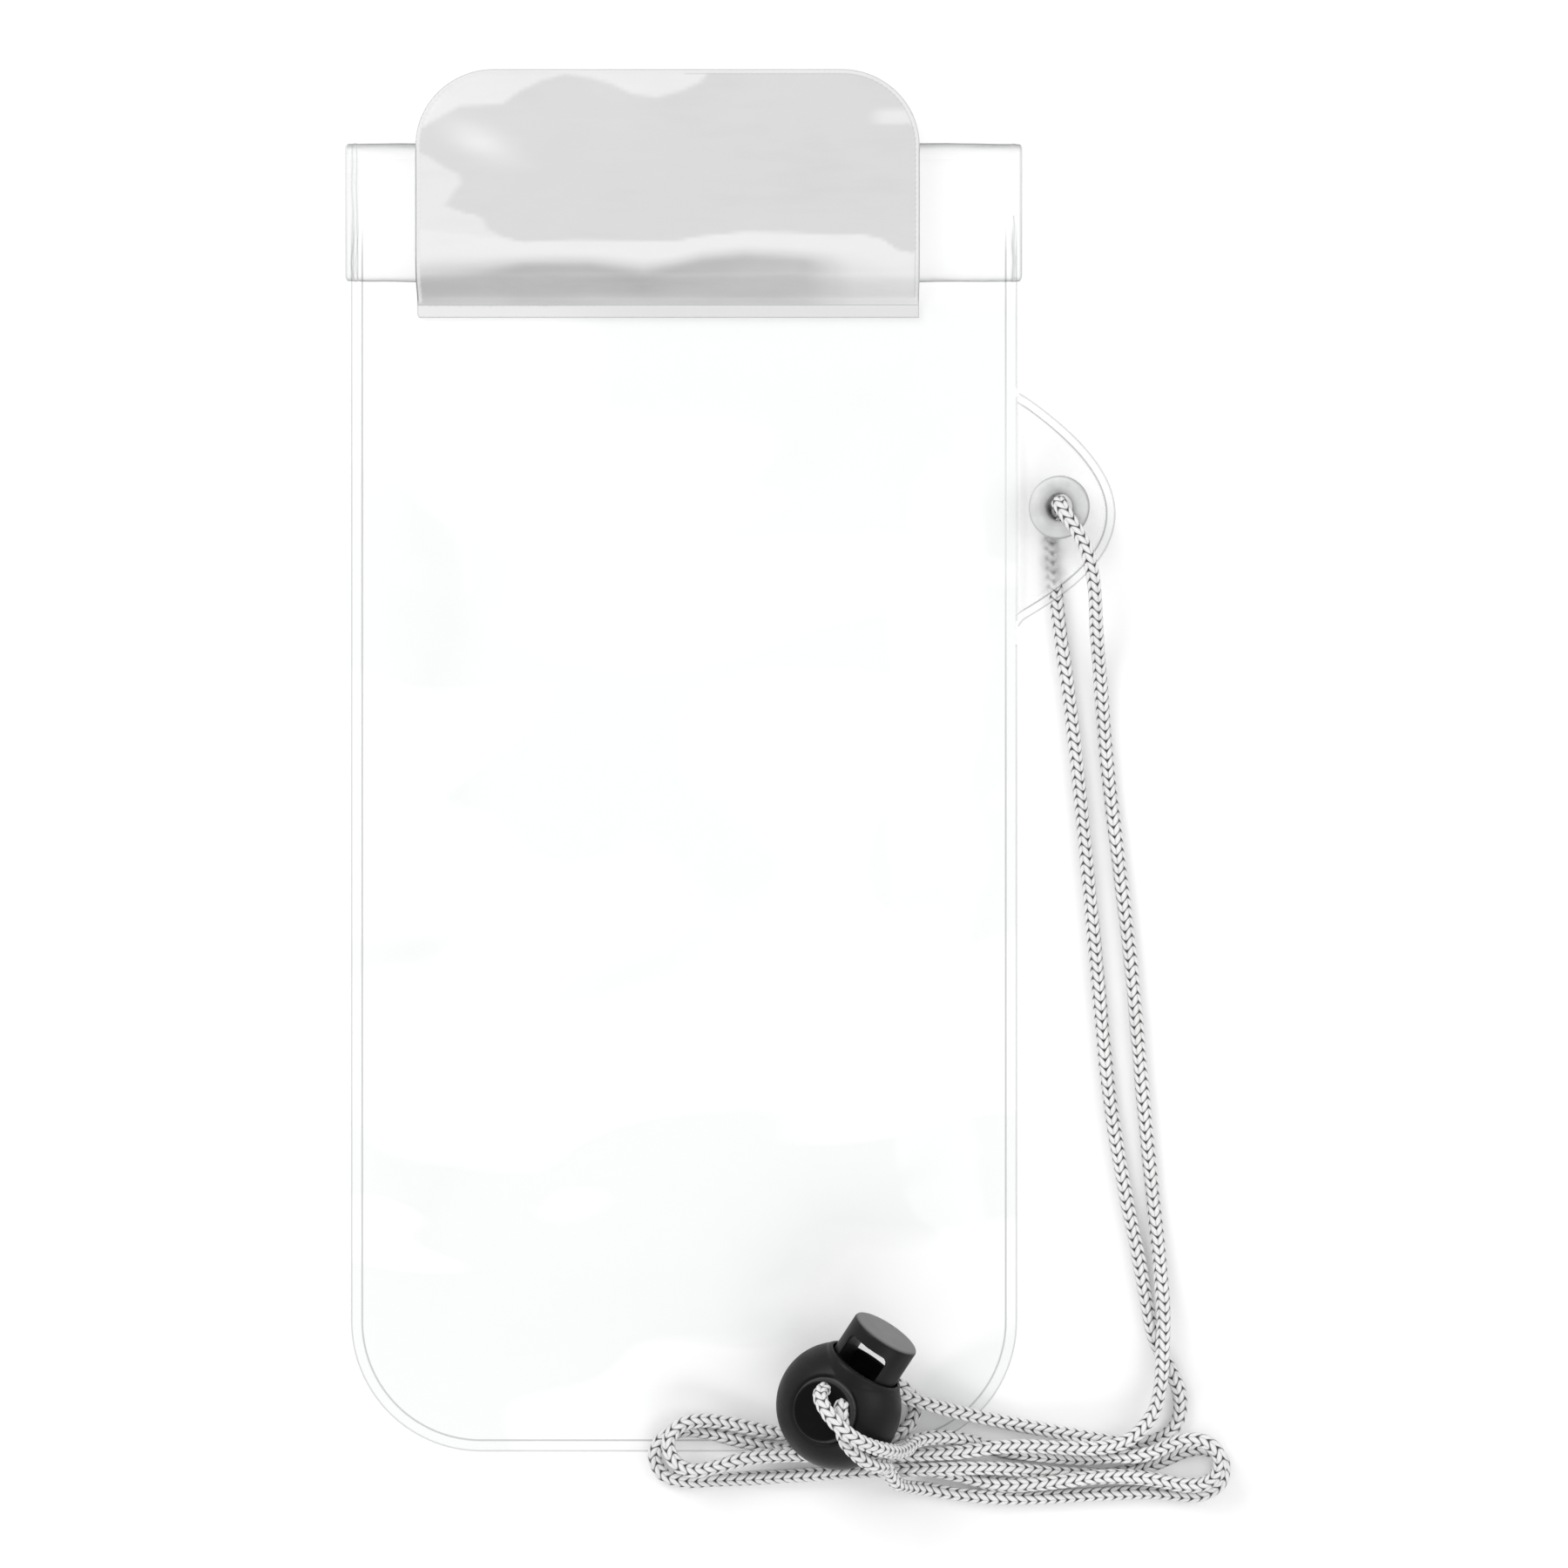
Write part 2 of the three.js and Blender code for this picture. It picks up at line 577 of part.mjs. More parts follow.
const eyeletGroup = new THREE.Group();
eyeletGroup.applyMatrix4(eyeletPlace);
place(eyeletGroup, 'eyelet_front', eyeletFront(), eyeletPlastic);
place(eyeletGroup, 'eyelet_washer', eyeletWasher(), eyeletPlastic);
pouch.add(eyeletGroup);

place(pouch, 'cord_front_strand', strand(frontStrand, strandStep), greyCord);
place(pouch, 'cord_back_strand', strand(backStrand, strandStep), greyCord);
place(pouch, 'cord_loops', cordLoops(), greyCord);
place(pouch, 'cord_lock_strand_left', strand(lockStrandLeft, lockStrandStep), greyCord);
place(pouch, 'cord_lock_strand_right', strand(lockStrandRight, lockStrandStep), greyCord);

place(lockGroup, 'lock_body', lockBody(), blackPlastic);
place(lockGroup, 'lock_button', lockButton(), blackPlastic);
place(lockGroup, 'lock_spring', lockSpring(), springSteel);
pouch.add(lockGroup);

export default pouch;
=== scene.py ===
# Looks of the waterproof phone pouch, built around its CAD frame.
# Lengths in the tables are millimetres; everything is scaled by mm when it becomes a mesh.

import math

import bmesh
import bpy
import numpy as np
from mathutils import Matrix, Vector, geometry, noise


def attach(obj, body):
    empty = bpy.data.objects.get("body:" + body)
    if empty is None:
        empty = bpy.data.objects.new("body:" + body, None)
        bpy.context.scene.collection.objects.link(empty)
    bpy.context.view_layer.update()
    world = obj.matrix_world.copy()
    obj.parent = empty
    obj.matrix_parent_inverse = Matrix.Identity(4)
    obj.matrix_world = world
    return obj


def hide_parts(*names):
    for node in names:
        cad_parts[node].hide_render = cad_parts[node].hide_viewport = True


mm = 0.001
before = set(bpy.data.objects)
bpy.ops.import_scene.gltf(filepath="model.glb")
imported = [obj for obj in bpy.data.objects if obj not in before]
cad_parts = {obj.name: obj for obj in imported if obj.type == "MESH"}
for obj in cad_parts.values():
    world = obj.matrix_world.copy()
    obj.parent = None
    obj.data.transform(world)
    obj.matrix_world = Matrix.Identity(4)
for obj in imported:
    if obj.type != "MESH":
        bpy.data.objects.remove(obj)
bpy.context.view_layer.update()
scene = bpy.context.scene


# Camera: straight above the bag, as far off as a long lens needs
camera = {"x": 16.5, "y": 2.2, "height": 860.0, "lens": 119.6, "sensor": 36, "near": 0.01, "far": 20}
camData = bpy.data.cameras.new("camera")
camData.lens = camera["lens"]
camData.sensor_width = camera["sensor"]
camData.clip_start = camera["near"]
camData.clip_end = camera["far"]
camObj = bpy.data.objects.new("camera", camData)
camObj.location = Vector((camera["x"], camera["y"], camera["height"])) * mm
scene.collection.objects.link(camObj)
scene.camera = camObj


# Shared helpers
def link(obj):
    scene.collection.objects.link(obj)
    return obj


def meshObject(name, points, faces, material, smooth=True):
    data = bpy.data.meshes.new(name)
    data.from_pydata([tuple(p) for p in np.asarray(points, float) * mm], [], faces)
    data.materials.append(material)
    if smooth:
        data.polygons.foreach_set("use_smooth", [True] * len(data.polygons))
    data.update()
    return link(bpy.data.objects.new(name, data))


# Quads over a grid of points laid row by row
def gridFaces(rows, columns):
    return [
        (r * columns + i, r * columns + i + 1, (r + 1) * columns + i + 1, (r + 1) * columns + i)
        for r in range(rows - 1)
        for i in range(columns - 1)
    ]


def setValues(obj, name, values):
    layer = obj.data.attributes.new(name, "FLOAT", "POINT")
    layer.data.foreach_set("value", np.asarray(values, np.float32))


def smoothStep(t):
    t = np.clip(t, 0, 1)
    return t * t * (3 - 2 * t)


def bump(distance, width):
    return np.exp(-((distance / width) ** 2))


def bezier(p0, p1, p2, p3, count):
    t = np.linspace(0, 1, count + 1)[:, None]
    p0, p1, p2, p3 = (np.asarray(p, float) for p in (p0, p1, p2, p3))
    return (1 - t) ** 3 * p0 + 3 * (1 - t) ** 2 * t * p1 + 3 * (1 - t) * t * t * p2 + t**3 * p3


def arc(cx, cy, radius, start, end, count):
    angle = np.radians(np.linspace(start, end, count + 1))
    return np.column_stack([cx + radius * np.cos(angle), cy + radius * np.sin(angle)])


def evenly(line, step, closed=False):
    line = np.asarray(line, float)
    if closed:
        line = np.vstack([line, line[:1]])
    lengths = np.linalg.norm(np.diff(line, axis=0), axis=1)
    along = np.concatenate([[0], np.cumsum(lengths)])
    count = max(2, int(round(along[-1] / step)))
    spots = np.linspace(0, along[-1], count + 1)
    out = np.column_stack([np.interp(spots, along, line[:, k]) for k in range(line.shape[1])])
    return out[:-1] if closed else out


def softNoise(points, scale, seed):
    return np.array([noise.noise(Vector((x / scale + seed, y / scale - seed, 0))) for x, y in points])


def distanceTo(line, points, closed=False):
    line = np.asarray(line, float)
    a = line if closed else line[:-1]
    b = np.roll(line, -1, axis=0) if closed else line[1:]
    best = np.full(len(points), 1e9)
    for p, q in zip(a, b):
        edge = q - p
        share = np.clip((points - p) @ edge / max(edge @ edge, 1e-12), 0, 1)
        best = np.minimum(best, np.linalg.norm(points - p - share[:, None] * edge, axis=1))
    return best


def insidePolygon(line, points):
    inside = np.zeros(len(points), bool)
    x, y = points[:, 0], points[:, 1]
    for (x1, y1), (x2, y2) in zip(line, np.roll(line, -1, axis=0)):
        crosses = (y1 > y) != (y2 > y)
        with np.errstate(divide="ignore", invalid="ignore"):
            at = (x2 - x1) * (y - y1) / (y2 - y1) + x1
        inside ^= crosses & (x < at)
    return inside


# Triangles over a closed outline, with the inner lines' points kept and a grid between them
def fillOutline(outline, inner, spacing, clear=0.6):
    lines = np.vstack(inner)
    lines = lines[insidePolygon(outline, lines)]
    low, high = outline.min(0), outline.max(0)
    gx, gy = np.meshgrid(np.arange(low[0], high[0], spacing), np.arange(low[1], high[1], spacing * 0.866))
    gx[1::2] += spacing / 2
    grid = np.column_stack([gx.ravel(), gy.ravel()])
    grid = grid[insidePolygon(outline, grid)]
    edge = distanceTo(outline, grid, closed=True)
    grid = grid[edge > clear]
    toLines = []
    for part in np.array_split(grid, len(grid) // 2000 + 1):
        toLines.append(np.linalg.norm(part[:, None, :] - lines[None, :, :], axis=2).min(1))
    grid = grid[np.concatenate(toLines) > spacing * 0.45]
    points = np.vstack([outline, lines, grid])
    count = len(outline)
    edges = [(i, (i + 1) % count) for i in range(count)]
    verts, _, faces, _, _, _ = geometry.delaunay_2d_cdt([Vector(p) for p in points], edges, [], 1, 1e-5)
    return np.array([tuple(v) for v in verts]), [tuple(f) for f in faces]


def applyModifiers(obj):
    depsgraph = bpy.context.evaluated_depsgraph_get()
    data = bpy.data.meshes.new_from_object(obj.evaluated_get(depsgraph))
    obj.modifiers.clear()
    obj.data = data


def vertexSpots(obj):
    return np.array([tuple(v.co) for v in obj.data.vertices]) / mm


# Moves a mesh built round its own origin to its place in the pouch; place is in millimetres
def putInPlace(obj, place):
    obj.data.transform(Matrix.Scale(mm, 4) @ place @ Matrix.Scale(1 / mm, 4))
    obj.data.update()


# Shader helpers
def newMaterial(name):
    material = bpy.data.materials.new(name)
    material.use_nodes = True
    material.node_tree.nodes.clear()
    return material, material.node_tree


def addNode(tree, kind, values=None, **settings):
    node = tree.nodes.new(kind)
    for key, value in settings.items():
        setattr(node, key, value)
    for key, value in (values or {}).items():
        if isinstance(value, bpy.types.NodeSocket):
            tree.links.new(value, node.inputs[key])
        else:
            node.inputs[key].default_value = value
    return node


def maths(tree, operation, *values, clamp=False):
    inputs = dict(enumerate(values))
    return addNode(tree, "ShaderNodeMath", inputs, operation=operation, use_clamp=clamp).outputs[0]


def mixColour(tree, share, a, b):
    return addNode(tree, "ShaderNodeMix", {0: share, 6: a, 7: b}, data_type="RGBA").outputs[2]


def spread(tree, value, low, high, toLow=0.0, toHigh=1.0):
    node = addNode(tree, "ShaderNodeMapRange", {0: value, 1: low, 2: high, 3: toLow, 4: toHigh})
    return node.outputs[0]


def attribute(tree, name):
    return addNode(tree, "ShaderNodeAttribute", attribute_name=name).outputs["Fac"]


def objectCoords(tree, scale=(1, 1, 1)):
    coords = addNode(tree, "ShaderNodeTexCoord").outputs["Object"]
    return addNode(tree, "ShaderNodeMapping", {0: coords, 3: scale}).outputs[0]


def noiseMap(tree, vector, scale, detail=3.0, rough=0.5, distortion=0.0):
    return addNode(
        tree, "ShaderNodeTexNoise",
        {"Vector": vector, "Scale": scale, "Detail": detail, "Roughness": rough, "Distortion": distortion},
    ).outputs[0]


def bumpMap(tree, height, distance, **more):
    return addNode(tree, "ShaderNodeBump", {"Distance": distance, "Height": height, **more}).outputs[0]


def mixShader(tree, share, a, b):
    return addNode(tree, "ShaderNodeMixShader", {0: share, 1: a, 2: b}).outputs[0]


def principled(tree, **values):
    inputs = {key.replace("_", " "): value for key, value in values.items()}
    return addNode(tree, "ShaderNodeBsdfPrincipled", inputs).outputs[0]


def output(tree, shader):
    addNode(tree, "ShaderNodeOutputMaterial", {0: shader})


# Clear film: light passes, weld lines and steep places take some of it, and soft waves shine on it.
filmLook = {
    "clear": (0.955, 0.959, 0.959, 1),
    "pressed": (0.994, 0.995, 0.995, 1),
    "steep": (0.22, 0.225, 0.23, 1),
    "steepPower": 1.2,
    "line": (0.70, 0.71, 0.715, 1),
    "clingScale": 13.0,
    "shaded": (0.5, 0.5, 0.505, 1),
    "frostRough": 0.7,
    "frostIor": 1.7,
    "ior": 1.45,
    "gloss": 0.13,
    "shine": 0.7,
    "pressedShine": 0.28,
    "mostShine": 0.14,
    "sideShine": 0.5,
    "waveScale": 30.0,
    "waveHeight": 0.0011,
    "grainScale": 420.0,
    "grainHeight": 0.000012,
}


# A thin soft line where the signed distance stored under name passes zero
def lineBand(tree, name, width, strength=1.0):
    away = maths(tree, "ABSOLUTE", attribute(tree, name))
    return maths(tree, "MULTIPLY", spread(tree, away, width * 0.45, width * 1.3, 1.0, 0.0), strength)


def strongest(tree, bands):
    top = bands[0]
    for band in bands[1:]:
        top = maths(tree, "MAXIMUM", top, band)
    return top


def filmMaterial(look, bands):
    material, tree = newMaterial("clear film")
    coords = objectCoords(tree)
    waves = noiseMap(tree, coords, look["waveScale"], 1.0, 0.4, 0.8)
    grain = noiseMap(tree, coords, look["grainScale"], 3.0, 0.6)
    rippled = bumpMap(tree, waves, look["waveHeight"])
    surface = bumpMap(tree, grain, look["grainHeight"], Normal=rippled)
    # folds and bends take light by how steep they stand, whatever side they are seen from
    normal = addNode(tree, "ShaderNodeNewGeometry").outputs["Normal"]
    upright = addNode(tree, "ShaderNodeSeparateXYZ", {0: normal})
    slope = maths(tree, "SUBTRACT", 1.0, maths(tree, "ABSOLUTE", upright.outputs[2]), clamp=True)
    steep = maths(tree, "POWER", slope, look["steepPower"])
    steep = maths(tree, "MULTIPLY", steep, spread(tree, attribute(tree, "calm"), 0.0, 1.0, 1.0, 0.1))
    # the two films cling to each other in long soft patches, and are clearer there
    cling = noiseMap(tree, objectCoords(tree, (0.8, 1.7, 1)), look["clingScale"], 1.0, 0.4, 1.2)
    pressed = maths(tree, "MAXIMUM", attribute(tree, "pressed"), spread(tree, cling, 0.47, 0.50, 0.0, 0.85))
    plain = mixColour(tree, pressed, look["clear"], look["pressed"])
    tint = mixColour(tree, steep, plain, look["steep"])
    tint = mixColour(tree, attribute(tree, "shade"), tint, look["shaded"])
    marks = strongest(tree, [lineBand(tree, *band) for band in bands])
    marks = maths(tree, "MULTIPLY", marks, spread(tree, attribute(tree, "faded"), 0.0, 1.0, 1.0, 0.0))
    tint = mixColour(tree, marks, tint, look["line"])
    clear = addNode(tree, "ShaderNodeBsdfTransparent", {"Color": tint}).outputs[0]
    frosted = addNode(
        tree, "ShaderNodeBsdfRefraction",
        {"Color": tint, "Roughness": look["frostRough"], "IOR": look["frostIor"]},
    ).outputs[0]
    through = mixShader(tree, attribute(tree, "frost"), clear, frosted)
    shine = addNode(
        tree, "ShaderNodeBsdfGlossy", {"Color": (1, 1, 1, 1), "Roughness": look["gloss"], "Normal": surface},
    ).outputs[0]
    fresnel = addNode(tree, "ShaderNodeFresnel", {"IOR": look["ior"], "Normal": surface}).outputs[0]
    share = maths(
        tree, "MULTIPLY", fresnel, spread(tree, pressed, 0.0, 1.0, look["shine"], look["pressedShine"]),
    )
    # seen along its face the film mirrors more
    facing = addNode(tree, "ShaderNodeLayerWeight", {"Blend": 0.5}).outputs["Facing"]
    along = maths(tree, "POWER", maths(tree, "SUBTRACT", facing, slope, clamp=True), 2.0)
    most = maths(tree, "MULTIPLY_ADD", along, look["sideShine"], look["mostShine"])
    share = maths(tree, "MINIMUM", share, most)
    # above 1 the attribute marks a ply that lies inside the roll and has no shine of its own
    share = maths(tree, "MULTIPLY", share, spread(tree, pressed, 1.0, 2.0, 1.0, 0.0))
    output(tree, mixShader(tree, share, through, shine))
    return material


def letLightThrough(obj):
    # a film this thin throws next to no shadow
    obj.visible_shadow = False
    obj.visible_diffuse = False


# each line's attribute, width in millimetres and strength
filmBands = [("weldLine", 0.16, 0.8), ("rimLine", 0.18, 0.55), ("innerLine", 0.15, 0.9)]
clearFilm = filmMaterial(filmLook, filmBands)


# Milky, glossy vinyl of the flap: its tone is uneven with painted highlights and painted shade
vinylLook = {
    # colours of the painted shade in the bend, the plain vinyl and the painted highlights
    "deep": (0.42, 0.42, 0.422, 1),
    "plain": (0.612, 0.612, 0.615, 1),
    "pale": (0.745, 0.745, 0.745, 1),
    "weld": (0.68, 0.68, 0.68, 1),
    "line": (0.42, 0.42, 0.43, 1),
    "bands": [("rimLine", 0.13, 0.45), ("weldLine", 0.13, 0.5), ("innerLine", 0.12, 0.35)],
    "gapShade": (0.12, 0.12, 0.12, 1),
    "gapWidth": 0.2,
    "passes": 0.8,
    "through": (0.97, 0.97, 0.97, 1),
    "rough": 0.3,
    "specular": 0.3,
    "waveScale": 60.0,
    "waveHeight": 0.0004,
    "grainScale": 900.0,
    "grainHeight": 0.00001,
}


def vinylMaterial(look):
    material, tree = newMaterial("white vinyl")
    coords = objectCoords(tree)
    streaks = noiseMap(tree, objectCoords(tree, (0.35, 1.6, 1)), 240.0, 3.0, 0.55)
    faint = noiseMap(tree, coords, look["waveScale"], 2.0, 0.5)
    tone = attribute(tree, "tone")
    loose = maths(tree, "MULTIPLY", maths(tree, "SUBTRACT", streaks, 0.5), 0.35)
    cloudy = maths(tree, "MULTIPLY", maths(tree, "SUBTRACT", faint, 0.5), 0.3)
    level = maths(tree, "ADD", maths(tree, "ADD", tone, loose), cloudy)
    # painted shade below zero and painted highlights above it, from the tone attribute with random streaks and
    # clouds added
    colour = mixColour(tree, spread(tree, level, -1.0, 0.0), look["deep"], look["plain"])
    colour = mixColour(tree, spread(tree, level, 0.05, 1.0), colour, look["pale"])
    colour = mixColour(tree, attribute(tree, "weldShare"), colour, look["weld"])
    marks = strongest(tree, [lineBand(tree, *band) for band in look["bands"]])
    colour = mixColour(tree, marks, colour, look["line"])
    # painted shadow along the rim where the flap's edge stands over the roll
    dark = maths(tree, "MULTIPLY", lineBand(tree, "rimLine", look["gapWidth"]), attribute(tree, "rimGapShadow"))
    colour = mixColour(tree, dark, colour, look["gapShade"])
    ripple = bumpMap(tree, faint, look["waveHeight"])
    grain = noiseMap(tree, coords, look["grainScale"], 3.0, 0.6)
    surface = bumpMap(tree, grain, look["grainHeight"], Normal=ripple)
    shader = principled(
        tree, Base_Color=colour, Roughness=look["rough"], Specular_IOR_Level=look["specular"], Normal=surface,
    )
    # thin milky vinyl lets much of the light through to what lies under it
    rays = addNode(tree, "ShaderNodeLightPath")
    passed = maths(tree, "MAXIMUM", rays.outputs["Is Shadow Ray"], rays.outputs["Is Diffuse Ray"])
    passed = maths(tree, "MULTIPLY", passed, look["passes"])
    clear = addNode(tree, "ShaderNodeBsdfTransparent", {"Color": look["through"]}).outputs[0]
    output(tree, mixShader(tree, passed, shader, clear))
    return material


whiteVinyl = vinylMaterial(vinylLook)


# Bag: the two clear films, flat at the welds and puffed between them
bag = {
    "side": 55.0,
    "bottom": -108.0,
    "foldStart": 105.4,
    "corner": 21.5,
    "weld": 1.9,
    "backZ": 0.0,
    "frontZ": 0.42,
    "puff": 5.5,
    "shoulderSide": 24.0,
    "shoulderBottom": 44.0,
    "shoulderTop": 34.0,
    "neck": 77.2,
    "neckCorner": 9.0,
    "plateauCorner": 16.0,
    "tabReach": 15.8,
    "tabUp": 19.4,
    "tabDown": 21.1,
    "tabY": 47.6,
    "tabFold": 1.9,
    "tabRise": 2.0,
    "tabSlope": 0.36,
    "frontTabSlope": 0.38,
    "tabWeld": 1.45,
    "eyeletOut": 7.1,
    "filmHole": 2.7,
    "wave": 0.616,
    "backWave": 0.05,
    "pucker": 0.16,
    "seamHeight": 0.1,
    "rimInset": 0.12,
    "noLine": 9,
    "strandX": 60.9,
    "strandLean": 0.06,
    "strandShade": 0.4,
}


def tabCurve():
    tip, middle = bag["side"] + bag["tabReach"], bag["tabY"]
    up, down, side = bag["tabUp"], bag["tabDown"], bag["side"]
    start = (side, middle - down)
    low = (side + 0.09 * bag["tabReach"], middle - 0.86 * down)
    knee = (side, middle - 0.9 * down)
    start, low, knee = np.array(start), np.array(low), np.array(knee)
    first = bezier(start, start * 1 / 3 + knee * 2 / 3, knee * 2 / 3 + low / 3, low, 8)
    second = bezier(
        low, (side + 0.52 * bag["tabReach"], middle - 0.67 * down), (tip, middle - 0.42 * down),
        (tip, middle - 0.05 * down), 24,
    )
    third = bezier(
        (tip, middle - 0.05 * down), (tip, middle + 0.36 * up),
        (side + 0.43 * bag["tabReach"], middle + 0.75 * up), (side, middle + up), 26,
    )
    return np.vstack([first, second[1:], third[1:]])


# The bag's outline drawn in by inset, from the upper right corner round the bottom to the upper left one
def bagLoop(inset, top):
    side = bag["side"] - inset
    radius = bag["corner"] - inset
    low = bag["bottom"] + bag["corner"]
    right = arc(side - radius, low, radius, 0, -90, 18)
    left = arc(radius - side, low, radius, -90, -180, 18)
    return np.vstack([[side, top], right, left, [-side, top]])


# How far inside the bag's sides and bottom each point lies; below zero outside
def bagDistance(points):
    side, low, radius = bag["side"], bag["bottom"], bag["corner"]
    dx = np.abs(points[:, 0]) - (side - radius)
    dy = (low + radius) - points[:, 1]
    outside = np.hypot(np.maximum(dx, 0), np.maximum(dy, 0))
    return radius - outside - np.minimum(np.maximum(dx, dy), 0)


# 0 at the panel's weld and 1 on its flat middle, found by halving
def puffShare(points):
    low, high = np.zeros(len(points)), np.ones(len(points))
    x, y = np.abs(points[:, 0]), points[:, 1]
    for _ in range(14):
        share = (low + high) / 2
        side = bag["side"] - bag["weld"] - bag["shoulderSide"] * share
        bottom = bag["bottom"] + bag["weld"] + bag["shoulderBottom"] * share
        top = bag["neck"] - bag["shoulderTop"] * share
        lowCorner = bag["corner"] - bag["weld"] + (bag["plateauCorner"] - bag["corner"] + bag["weld"]) * share
        highCorner = bag["neckCorner"] + (bag["plateauCorner"] - bag["neckCorner"]) * share
        inside = (x <= side) & (y >= bottom) & (y <= top)
        for cornerY, corner, sign in ((bottom + lowCorner, lowCorner, -1), (top - highCorner, highCorner, 1)):
            beyond = (x > side - corner) & ((y - cornerY) * sign > 0)
            inside &= ~(beyond & (np.hypot(x - side + corner, y - cornerY) > corner))
        low = np.where(inside, share, low)
        high = np.where(inside, high, share)
    return low


def tabLift(x, slope):
    outward = x - bag["side"]
    return smoothStep(outward / bag["tabFold"]) * bag["tabRise"] + np.maximum(outward - bag["tabFold"], 0) * slope


tabLine = tabCurve()
# counter-clockwise: left side down, bottom, right side up with the tab in it
bagOutline = np.vstack([
    bagLoop(0, bag["foldStart"])[::-1][:-1],
    tabLine,
    [[bag["side"], bag["foldStart"]]],
])
bagOutline = evenly(bagOutline, 1.1, closed=True)
eyeletAt = np.array([bag["side"] + bag["eyeletOut"], bag["tabY"]])


def tabInset(amount):
    heading = np.gradient(tabLine, axis=0)
    normal = np.column_stack([-heading[:, 1], heading[:, 0]]) / np.linalg.norm(heading, axis=1)[:, None]
    return tabLine + normal * amount


def filmRings():
    side, low, high = bag["side"], bag["tabY"] - bag["tabDown"] + 1.5, bag["tabY"] + bag["tabUp"] - 1.5
    insets = (0.3, 0.6, 1.0, 1.4, 1.65, 1.9, 2.15, 2.5, 3.2)
    rings = [evenly(bagLoop(inset, bag["foldStart"] - 1), 1.3) for inset in insets]
    # regular columns of points stand across the tab's fold instead
    rings = [r[(r[:, 0] <= side - 4) | (r[:, 1] <= low - 0.5) | (r[:, 1] >= high + 0.5)] for r in rings]
    up = np.arange(low, high, 0.9)
    for x in (-3.2, -2.5, -2.15, -1.9, -1.65, -1.4, -1.0, -0.6, -0.3, 0, 0.3, 0.6, 1.0, 1.4, 1.9, 2.5, 3.2):
        rings.append(np.column_stack([np.full(len(up), side + x), up]))
    rings += [evenly(tabInset(inset), 0.9) for inset in (0.3, 0.6, 1.0, 1.25, 1.45, 1.65, 2.0)]
    return rings + [arc(*eyeletAt, r, 0, 360, 32)[:-1] for r in (bag["filmHole"], 4.0, 5.6)]


# Where the film's lines, frost and shade lie
def filmMarks(obj, points, inward, toTab, onTab, belowRoll):
    x, y = points.T
    setValues(obj, "weldLine", np.where(belowRoll, inward - bag["weld"], bag["noLine"]))
    setValues(obj, "pressed", np.where(onTab, 0.8, smoothStep((y - 80) / 4)))
    setValues(obj, "frost", np.where(onTab, smoothStep((toTab - bag["tabWeld"] - 0.2) / 0.5), 0))
    # painted shade on the tab's film where the cord's back strand lies under it
    strand = bump(x - bag["strandX"] + bag["strandLean"] * (y - 40), 1.0)
    overStrand = strand * smoothStep((y - 34.5) / 2.5) * (y < 46)
    setValues(obj, "shade", bag["strandShade"] * overStrand * onTab)
    # the rim's lines fade out beside the tab, on its fold and under the roll
    byTab = bump(y - bag["tabY"], 24.0) * (x > 0)
    byFold = bump(x - bag["side"], 1.2) * (toTab > 0.9) * (x > 0)
    underRoll = smoothStep((y - 88) / 8)
    faded = np.where(onTab, 0, np.maximum(0.6 * byTab, underRoll))
    setValues(obj, "faded", np.maximum(faded, 0.8 * byTab * byFold))
    setValues(obj, "calm", onTab)
    toEdge = np.where(toTab < 0.8, bag["noLine"], inward) - bag["rimInset"]
    onTabLine = -np.minimum(toTab - bag["rimInset"], x - bag["side"] + bag["rimInset"])
    setValues(obj, "rimLine", np.where(onTab, onTabLine, toEdge))
    setValues(obj, "innerLine", np.where(x > bag["side"] - 0.5, toTab - bag["tabWeld"], bag["noLine"]))


def filmMesh(name, lowest, puffed, slope, seed):
    points, faces = fillOutline(bagOutline, filmRings(), 2.2)
    inward = bagDistance(points)
    toTab = distanceTo(tabLine, points)
    onTab = points[:, 0] > bag["side"] + 0.02
    belowRoll = points[:, 1] < bag["foldStart"] - 2
    height = lowest + tabLift(points[:, 0], slope)
    wavy = softNoise(points, 21.0, seed) + 0.5 * softNoise(points, 9.0, seed + 7)
    if puffed:
        share = puffShare(points)
        height += bag["puff"] * smoothStep(share) + bag["wave"] * wavy * smoothStep(share * 2.5)
        puckered = smoothStep((inward - 2) / 2.5) * smoothStep((7 - inward) / 4)
        height += bag["pucker"] * softNoise(points, 3.4, seed) * puckered
    else:
        height += bag["backWave"] * (1 + np.abs(wavy) * smoothStep((inward - 2) / 3))
    seam = bump(inward - bag["weld"], 0.25) * belowRoll
    tabSeam = bump(toTab - bag["tabWeld"], 0.22) * onTab
    height += bag["seamHeight"] * (seam + tabSeam)
    # faces under the eyelet are left out so that the cord passes
    centre = np.array([points[list(f)].mean(0) for f in faces])
    keep = np.linalg.norm(centre - eyeletAt, axis=1) > bag["filmHole"]
    faces = [f for f, k in zip(faces, keep) if k]
    obj = meshObject(name, np.column_stack([points, height]), faces, clearFilm)
    filmMarks(obj, points, inward, toTab, onTab, belowRoll)
    letLightThrough(obj)
    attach(obj, "pouch")
    return obj


backFilm = filmMesh("back_film", bag["backZ"], False, bag["tabSlope"], 3.0)
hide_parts("back_sheet")
frontFilm = filmMesh("front_film", bag["frontZ"], True, bag["frontTabSlope"], 11.0)
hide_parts("front_sheet")
print("bag films done")


